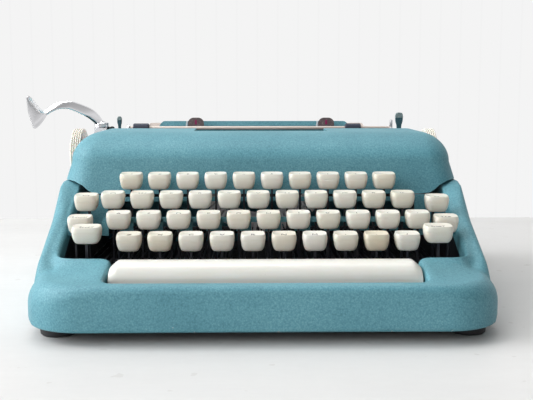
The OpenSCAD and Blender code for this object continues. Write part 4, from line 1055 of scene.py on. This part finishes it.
def makeSpaceBar(plastic, dark):
    # A profile rounded over its front, carried along x and lowered at both ends
    s = spaceBar
    low, high = boxOf("space_bar")
    half, front, top = s["half"], low[1], high[2]
    back, bottom = front + s["depth"], top - s["height"]
    r, small = s["height"] * s["crown"], s["backRound"]
    profile = np.concatenate([
        [[back, bottom + 0.4], [back, bottom + 5], [back, top - small]],
        arcPoints([back - small, top - small], small, 0, 90, 6),
        arcPoints([front + r, top - r], r, 92, 176, 16),
        [[front, bottom + 3], [front, bottom + 1.2], [front + 0.4, bottom + 0.3], [front + 1.2, bottom]],
        [[back - 0.6, bottom]],
    ])
    ends = s["endRun"] * (1 - np.cos(np.linspace(0, math.pi / 2, 9)))
    x = np.concatenate([ends - half, np.linspace(-half + 8, half - 8, 60), half - ends[::-1]])
    inset = np.clip((np.abs(x) - (half - s["chamferRun"])) / s["chamferRun"], 0, 1)
    drop = s["chamfer"] * inset ** s["chamferBend"]
    shape = (profile[:, 1] - bottom) / s["height"]
    points = np.empty((len(x), len(profile), 3))
    points[..., 0] = x[:, None] + s["offset"]
    points[..., 1] = profile[:, 0]
    points[..., 2] = bottom + shape * (s["height"] - drop[:, None])

    # Two smaller rings round off each end
    middle = np.array([0, (front + back) / 2, bottom + s["height"] / 2 - 1])
    caps = [[middle * [0, 1, 1] + (row - middle) * [1, scale, scale] for scale in (0.93, 0.985)]
            for row in (points[0], points[-1])]
    points[0, :, 0] += 0.5
    points[-1, :, 0] -= 0.5
    build = Build()
    build.grid(np.concatenate([caps[0], points, caps[1][::-1]]))
    y, z = middle[1], bottom - s["rodDrop"]
    rod(build, [-s["armX"], y, z], [s["armX"], y, z], s["rodR"], 16, 1)
    long, wide = s["foot"]
    for side in (-1, 1):
        x = side * s["footX"]
        block(build, (x - long / 2, y - wide / 2, z), (x + long / 2, y + wide / 2, bottom), 1)
        addLever(build, side * s["armX"], y, z + 1, s["arm"])
    finishKey(build, "space_bar_cap", "space_bar", s["tone"], [plastic, dark])
    print("space bar made")


carriage = {
    "endX": 120.0,
    "plate": 3.0,
    "bed": 3.0,
    "bedReach": 6.0,
    "bedY": (-13.0, -2.0, 12.0, 27.0),  # edges of its two rails, from the platen's axis
    "bedEndX": 104.0,
    "plateR": 19.5,
    "cornerR": 11.0,
    "hoodLength": 11.5,
    "hoodRadii": (18.1, 15.3),
    "hoodWall": 1.5,
    "screws": ((-120.8, 2.0), (-124.6, 2.4)),
    "screwRise": 19.3,
    "bush": (21.4, 9.0),
    "pivotX": -129.0,
    "pivotR": 2.5,
    "seat": 20.9,  # of the return lever, above the platen's axis
    "bailBack": 23.0,
    "bailRise": 8.0,
    "bailPin": 2.0,
}
platenLow, platenHigh = boxOf("platen")
axisY, axisZ = (platenLow[1:] + platenHigh[1:]) / 2
platenR = (platenHigh[1] - platenLow[1]) / 2
carriageLow, carriageHigh = boxOf("carriage_frame")
bedTop = carriageLow[2] + carriage["bed"]
bailY, bailZ = axisY + carriage["bailBack"], axisZ + carriage["bailRise"]


def makeCarriageBody(paint, dark, steel):
    # Bed, end plates with their hoods, the bush and lever pivot at the left, and the bail's pivot rod
    c = carriage
    build = Build()
    endX, low = c["endX"], carriageLow[2]
    reach, inner = endX + c["bedReach"], c["bedEndX"]
    front, frontEnd, backEnd, back = (axisY + y for y in c["bedY"])
    for x0, x1, y0, y1 in ((-reach, reach, front, frontEnd), (-reach, reach, backEnd, back),
                           (-reach, -inner, frontEnd, backEnd), (inner, reach, frontEnd, backEnd)):
        block(build, (x0, y0, low), (x1, y1, bedTop), 1)
    outline = np.concatenate([
        [[axisY - 15, low], [axisY + 27, low], [axisY + 29, low + 26]],
        arcPoints([axisY + 17, axisZ + 8], c["cornerR"], 20, 95, 12),
        arcPoints([axisY, axisZ], c["plateR"], 85, 165, 18)])
    x = np.linspace(endX + 0.5, endX + c["hoodLength"], 6)
    radius = np.linspace(*c["hoodRadii"], 6)[:, None] + np.zeros(36)
    radius = np.hstack([radius, radius - c["hoodWall"]])
    a = np.radians(np.linspace(20, 150, 36))
    a = np.concatenate([a, a[::-1]])
    hood = np.stack([x[:, None] + 0 * a, axisY + 4 + radius * np.cos(a), axisZ + 2 + radius * np.sin(a)], 2)
    for side in (-1, 1):
        plateAlong(build, outline, min(side * endX, side * (endX + c["plate"])), c["plate"])
        build.grid(hood * [side, 1, 1], flip=side < 0)
    for x, r in c["screws"]:
        profile = [(0, r), (1.4, r), (2.2, 0.7 * r), (2.5, 0.2)]
        turned(build, [x, axisY + 2, axisZ + c["screwRise"]], (0, 0, 1), profile, 20, 1)
    length, r = c["bush"]
    turned(build, [-endX - 1, axisY, axisZ], (-1, 0, 0), [
        (0, r), (3, r), (3.4, r - 1.2), (6, r - 1.2), (6.4, r), (12, r), (12.4, r - 1.6),
        (length - 2.5, r - 1.6), (length - 1.6, r), (length - 1.4, r)], 40, 2)
    x, top = c["pivotX"], axisZ + c["seat"]
    block(build, (x - 5, axisY - 6, axisZ + 14), (x + 5, axisY + 6, top - 0.3), 2)
    rod(build, [x, axisY, axisZ + 18], [x, axisY, top + 4.5], c["pivotR"], 24, 2)
    rod(build, [-endX - 1, bailY, bailZ], [endX + 1, bailY, bailZ], c["bailPin"], 20, 2)
    build.finish("carriage_body", [paint, dark, steel], "carriage", ["carriage_frame"], "teal_crinkle_paint",
                 bevel=0.35)


table = {"x": (-86.0, 77.0), "rise": 24.9, "cut": 4.5, "wings": (8.5, 13.0), "wingDrop": 1.5,
         "wingCuts": (2.0, 3.0), "bend": 8.0, "slope": 0.57, "half": 0.7, "clear": 3.0, "endShare": 0.12}


def makePaperTable(paint, cream):
    # A curved sheet leaning back behind the platen, its upper corners cut round, and a lower wing at each end
    t = table
    y, bend, slope = axisY + platenR + t["clear"], t["bend"], t["slope"]
    build = Build()

    def lowering(gap, cut):
        return cut * np.clip(1 - gap / (cut + 0.01), 0, 1) ** 2

    def sheet(x0, x1, rise, leftCut, rightCut, index):
        lean = rise - bend
        curve = splinePoints([[y + 0.8, bedTop - axisZ], [y + 3.2, -3], [y + 8.3, bend],
                              [y + 14, bend + 0.45 * lean], [y + 8.6 + slope * lean, rise + 0.2]], 7)
        d = np.gradient(curve, axis=0)
        d /= np.linalg.norm(d, axis=1)[:, None]
        offset = t["half"] * np.stack([-d[:, 1], d[:, 0]], 1)
        ring = np.concatenate([curve + offset, (curve - offset)[::-1]])
        end = (x1 - x0) * np.linspace(0, t["endShare"], 12)
        x = np.concatenate([x0 + end, np.linspace(x0, x1, 12)[2:-2], x1 - end[::-1]])
        lowered = (lowering(x - x0, leftCut) + lowering(x1 - x, rightCut))[:, None]
        lowered = lowered * np.clip((ring[:, 1] - bend) / lean, 0, 1)
        place = [x[:, None] + 0 * lowered, ring[:, 0] - slope * lowered, axisZ + ring[:, 1] - lowered]
        build.grid(np.stack(place, 2), flip=True, index=index)

    (x0, x1), (left, right), low = t["x"], t["wings"], t["rise"] - t["wingDrop"]
    sheet(x0, x1, t["rise"], t["cut"], t["cut"], 0)
    sheet(x0 - left, x0 + 1.5, low, t["wingCuts"][0], 0, 1)
    sheet(x1 - 1.5, x1 + right, low, 0, t["wingCuts"][1], 1)
    build.finish("paper_table", [paint, cream], "carriage", [], "teal_crinkle_paint", 50)


stops = {"x": (-54.0, 56.5), "back": 27.5, "rise": 24.3, "rackEnd": 4.0, "teeth": 30, "pitch": 5.0,
         "tooth": 2.4}


def makeStops(crackle, mark, white, dark):
    # Half-round margin stops on their rack; each has a coloured index line and a slanted pointer at its left
    build = Build()
    s = stops
    y, z = axisY + s["back"], axisZ + s["rise"]
    x0, x1 = table["x"][0] + s["rackEnd"], table["x"][1] - s["rackEnd"]
    block(build, (x0, y, z - 6), (x1, y + 3.8, z - 3), 3)
    for i in range(s["teeth"]):
        x = x0 + s["rackEnd"] + i * s["pitch"]
        block(build, (x, y - 0.6, z - 5.6), (x + s["tooth"], y, z - 3.4), 3)
    for x in s["x"]:
        right = np.array([(3, -6), (3, -3.5), (6.8, -3.5), *arcPoints([1.8, -0.9], 5, 0, 90, 12)])
        plateAcross(build, np.array(mirrored(right)) + [x, z], y - 1.5, 2)
        block(build, (x - 0.9, y - 1.75, z - 1.6), (x + 0.9, y - 1.5, z + 2.2), 1)
        pointer = [(x - 8.6, z - 3.5), (x - 7.4, z - 3.5), (x - 6.9, z + 1.4), (x - 8.0, z + 1.4)]
        plateAcross(build, pointer, y - 1.2, 0.8, 2)
    build.finish("margin_stops", [crackle, mark, white, dark], "carriage", [], "dark_metal", bevel=0.2)
    print("carriage made")


roller = {"half": 118.0, "shaft": 4.0}
knob = {
    "length": 9.4,
    "sunk": 0.5,  # of the left one over its collar
    "ribs": 5,
    # share of a rib's pitch, drop below the rim
    "rib": [(0.20, 0.95), (0.30, 0.28), (0.42, 0.04), (0.60, 0.0), (0.80, 0.04), (0.92, 0.28), (1.02, 0.95)],
}


def makePlaten(rubber, steel, cream):
    # Rubber roller between steel rings on its shaft, and a ribbed knob on each end
    build = Build()
    half, r = roller["half"], platenR
    end = [(0, r - 1.2), (0.4, r - 0.8), (2.6, r - 0.8), (2.8, r - 0.2), (3.1, r)]
    turned(build, [-half, axisY, axisZ], (1, 0, 0), end + [(2 * half - x, r) for x, r in end[::-1]], 96)
    rod(build, [platenLow[0], axisY, axisZ], [platenHigh[0], axisY, axisZ], roller["shaft"], 32, 1)
    build.finish("platen_roller", [rubber, steel], "platen", ["platen"], "black_rubber", 30)
    low, high = boxOf("platen_knobs")
    r, length = (high[1] - low[1]) / 2, knob["length"]
    pitch = (length - 1) / knob["ribs"]
    profile = [(0, 4.0), (0, r - 3), (0.25, r - 1.6)]
    profile += [((i + share) * pitch, r - drop) for i in range(knob["ribs"]) for share, drop in knob["rib"]]
    profile += [(length - 0.5, r - 2.0), (length, r - 3.4), (length - 0.1, r - 7.4), (length - 0.8, r - 8.6),
                (length - 1.5, r - 9.2), (length - 1.5, 3.0), (length - 1.1, 1.6), (length - 1.0, 0.1)]
    build = Build()
    for x, way in ((low[0] + length - knob["sunk"], -1), (high[0] - length, 1)):
        turned(build, [x, axisY, axisZ], (way, 0, 0), profile, 96)
    build.finish("knob_pair", [cream], "platen", ["platen_knobs"], "cream_plastic", 50)
    print("platen and knobs made")


bail = {"inset": 13.7, "rodAhead": 6.25, "rodRise": 20.7, "rodR": 1.3, "arm": 2.0, "eyeR": 3.4,
        "rollerX": (-96.0, 75.3), "rollerR": 3.6}


def makeBail(steel, strip, rubber):
    # Two arms, the rod they carry with its two rubber rollers, and the tab that lifts it. The rod's flat cream
    # colour is a painted reflection on polished steel
    b = bail
    y, z = axisY - b["rodAhead"], axisZ + b["rodRise"]
    half, thick, r = carriage["endX"] - b["inset"], b["arm"], b["rollerR"]
    hook = splinePoints([
        [bailY + 3, bailZ - 3], [bailY + 4.2, bailZ + 2], [bailY - 4, axisZ + 18.5],
        [axisY + 4, axisZ + 20.4], [y + 2.4, z + 1.9], [y, z + 2.6], [y - 2.4, z + 0.4], [y - 1.8, z - 2.2],
        [y + 2, z - 2.5], [axisY + 2, axisZ + 17], [bailY - 10, axisZ + 15], [bailY - 5.4, bailZ + 4],
        [bailY - 3.2, bailZ - 3]], 6)
    tab = np.array([(-1.6, 0), (1.6, 0), (1.2, 4), (0.5, 6.2), (-0.8, 6.6), (-2.0, 6.2), (-2.2, 4)]) + [y, z]
    build = Build()
    for side in (-1, 1):
        plateAlong(build, hook, side * half - thick / 2, thick)
        rod(build, [side * half - 1.6, bailY, bailZ], [side * half + 1.6, bailY, bailZ], b["eyeR"], 24)
    plateAlong(build, tab, half - thick / 2, thick)
    # painted reflection: the polished steel rod takes a flat cream colour that stands in for what it reflects
    rod(build, [-half - 1, y, z], [half + 1, y, z], b["rodR"], 24, 1)
    profile = [(0, 2.2), (0.2, r - 0.7), (0.7, r), (12.3, r), (12.8, r - 0.7), (13, 2.2)]
    for x in b["rollerX"]:
        turned(build, [x - 6.5, y, z], (1, 0, 0), profile, 32, 2)
    build.finish("bail_bar", [steel, strip, rubber], "paper_bail", ["paper_bail"], "bright_steel", bevel=0.3)


# x, half width and rise of each post; its tip takes the share of its height above "tip"
release = {"posts": ((117.9, 3.3, 32.6), (-117.9, 2.0, 29.4)), "base": 20.5, "tip": 0.62, "thick": 2.0,
           "tipThick": 2.7, "eyeR": 5.0}


def makeReleaseLevers(dark, tip):
    # A spoon-ended lever at the right and a slim post at the left, both on the bail's pivot rod
    build = Build()
    p = release
    base = axisZ + p["base"]
    for x, w, rise in p["posts"]:
        top = axisZ + rise
        right = splinePoints([
            [0.62 * w, bailZ], [0.6 * w, base], [0.92 * w, blendNumber(base, top, 0.4)],
            [0.98 * w, blendNumber(base, top, 0.72)], [0.78 * w, top - 0.8], [0.3 * w, top]], 6)
        plateAcross(build, np.array(mirrored(right)) + [x, 0], bailY - p["thick"] / 2, p["thick"])
        cap = np.array(mirrored(right[right[:, 1] > blendNumber(base, top, p["tip"])]))
        plateAcross(build, cap * [1.02, 1] + [x, 0.15], bailY - p["tipThick"] / 2, p["tipThick"], 1)
        rod(build, [x - 1.7, bailY, bailZ], [x + 1.7, bailY, bailZ], p["eyeR"], 28)
    build.finish("release_levers", [dark, tip], "paper_release_lever", ["paper_release_lever"], "dark_metal",
                 bevel=0.45)
    print("bail and paper release made")


returnLever = {
    "hub": [(0, 5.6), (0.4, 6), (3.6, 6), (4.1, 5.5), (4.3, 3.2), (5.0, 3.0), (5.3, 2.2), (5.3, 0.1)],
    # x, y, z from the hub, width, thickness
    "strap": [[1.2, -1.0, 0.4, 5.0, 2.4], [-1.0, -2.6, 3.6, 7.0, 2.4], [-4.6, -5.4, 8.4, 8.6, 2.3],
              [-9.5, -9.2, 12.6, 9.2, 2.2], [-19.9, -16, 17.5, 8.2, 2.1], [-25.2, -20, 18.2, 7.4, 2.0],
              [-30.5, -24, 17.2, 6.8, 2.0], [-35.6, -28, 14.2, 6.0, 2.0], [-39.7, -31, 10.4, 4.6, 2.2]],
    "lean": 50.0,
    "square": 3.2,
    # the paddle's outline in its own plane; its rings' share of the outline and depth, from front to back
    "paddle": [[-15.4, 24.2], [-13.4, 25.3], [-10.6, 22.6], [-4.8, 15.2], [-0.4, 11.6], [-0.9, 8.8],
               [-4.4, 4.0], [-8, 0.7], [-9.8, 0.1], [-11.2, 2.0], [-14.4, 13.4]],
    "rings": [(0.01, -0.4), (0.45, -0.35), (0.8, -0.8), (0.92, -1.3), (0.985, -1.35), (1.0, -1.0), (1.0, 0.5),
              (0.97, 0.85), (0.7, 1.1), (0.01, 1.2)],
    "middle": (-7.6, 12.0),
    "turn": 30.0,
    "reach": (-37.0, -31.0),
}


def makeReturnLever(chrome):
    # A broad chrome strap arching up from its hub to a curved finger paddle, hollowed on the typist's side
    v = returnLever
    place = np.array([carriage["pivotX"], axisY, axisZ + carriage["seat"]])
    build = Build()
    turned(build, place, (0, 0, 1), v["hub"], 40)
    strap(build, splinePoints(v["strap"], 6) + [*place, 0, 0], v["lean"], 28, v["square"])
    middle, turn = np.array(v["middle"]), math.radians(v["turn"])
    outline = splinePoints(v["paddle"], 7) - middle
    points = np.array([np.insert(middle + outline * share, 1, depth, 1) for share, depth in v["rings"]])
    around = np.array([[math.cos(turn), math.sin(turn), 0], [-math.sin(turn), math.cos(turn), 0], [0, 0, 1]])
    build.grid(points @ around + place + [*v["reach"], 0])
    build.finish("carriage_return_lever", [chrome], "return_lever", ["return_lever"], "chrome", 42)
    print("return lever made")


def coatNodes(finishes):
    # CAD parts whose shape is kept take their finish here
    for name, finish in finishes.items():
        for materialSlot in nodes[name].material_slots:
            materialSlot.material = finish


tealCrinkle = crinklePaint("teal_crinkle")
keyPlastic = creamPlastic("cream_plastic")
darkSteel = agedSteel("dark_steel")
legendInk = inkPaint("legend_ink")
chrome = plainMetal("chrome", (0.80, 0.80, 0.82), 0.07)
brightSteel = plainMetal("bright_steel", (0.58, 0.58, 0.60), 0.22, 0.25)
blackRubber = rubberPaint("black_rubber", (0.012, 0.012, 0.014), 0.5)
rollerRubber = rubberPaint("roller_rubber", (0.016, 0.022, 0.045), 0.4)
blackEnamel = rubberPaint("black_enamel", (0.008, 0.009, 0.012), 0.35)
brownCrackle = cracklePaint("brown_crackle", (0.13, 0.095, 0.10), (0.36, 0.31, 0.31))
# the cream of the paper table's wings, and the bail rod's painted reflection
creamAndPaintedReflection = flatPaint("cream_and_painted_reflection", (0.78, 0.68, 0.62), 0.35)
magentaMark = flatPaint("magenta_mark", (0.30, 0.01, 0.10))
whiteMark = flatPaint("white_mark", (0.85, 0.88, 0.92))
petrolEnamel = flatPaint("petrol_enamel", (0.02, 0.085, 0.11), 0.3)
greyTip = flatPaint("grey_tip", (0.20, 0.27, 0.28), 0.4)
setCamera()
setStage()
makeHousing(tealCrinkle)
makeCover(tealCrinkle, brightSteel)
makeKeys(keyPlastic, darkSteel, legendInk)
makeSpaceBar(keyPlastic, darkSteel)
makeCarriageBody(tealCrinkle, blackEnamel, brightSteel)
makePaperTable(tealCrinkle, creamAndPaintedReflection)
makeStops(brownCrackle, magentaMark, whiteMark, blackEnamel)
makePlaten(blackRubber, brightSteel, keyPlastic)
makeBail(brightSteel, creamAndPaintedReflection, rollerRubber)
makeReleaseLevers(petrolEnamel, greyTip)
makeReturnLever(chrome)
coatNodes({"chassis": blackEnamel, "rubber_feet": blackRubber, "type_basket": brightSteel,
           "ribbon_spools": blackEnamel})
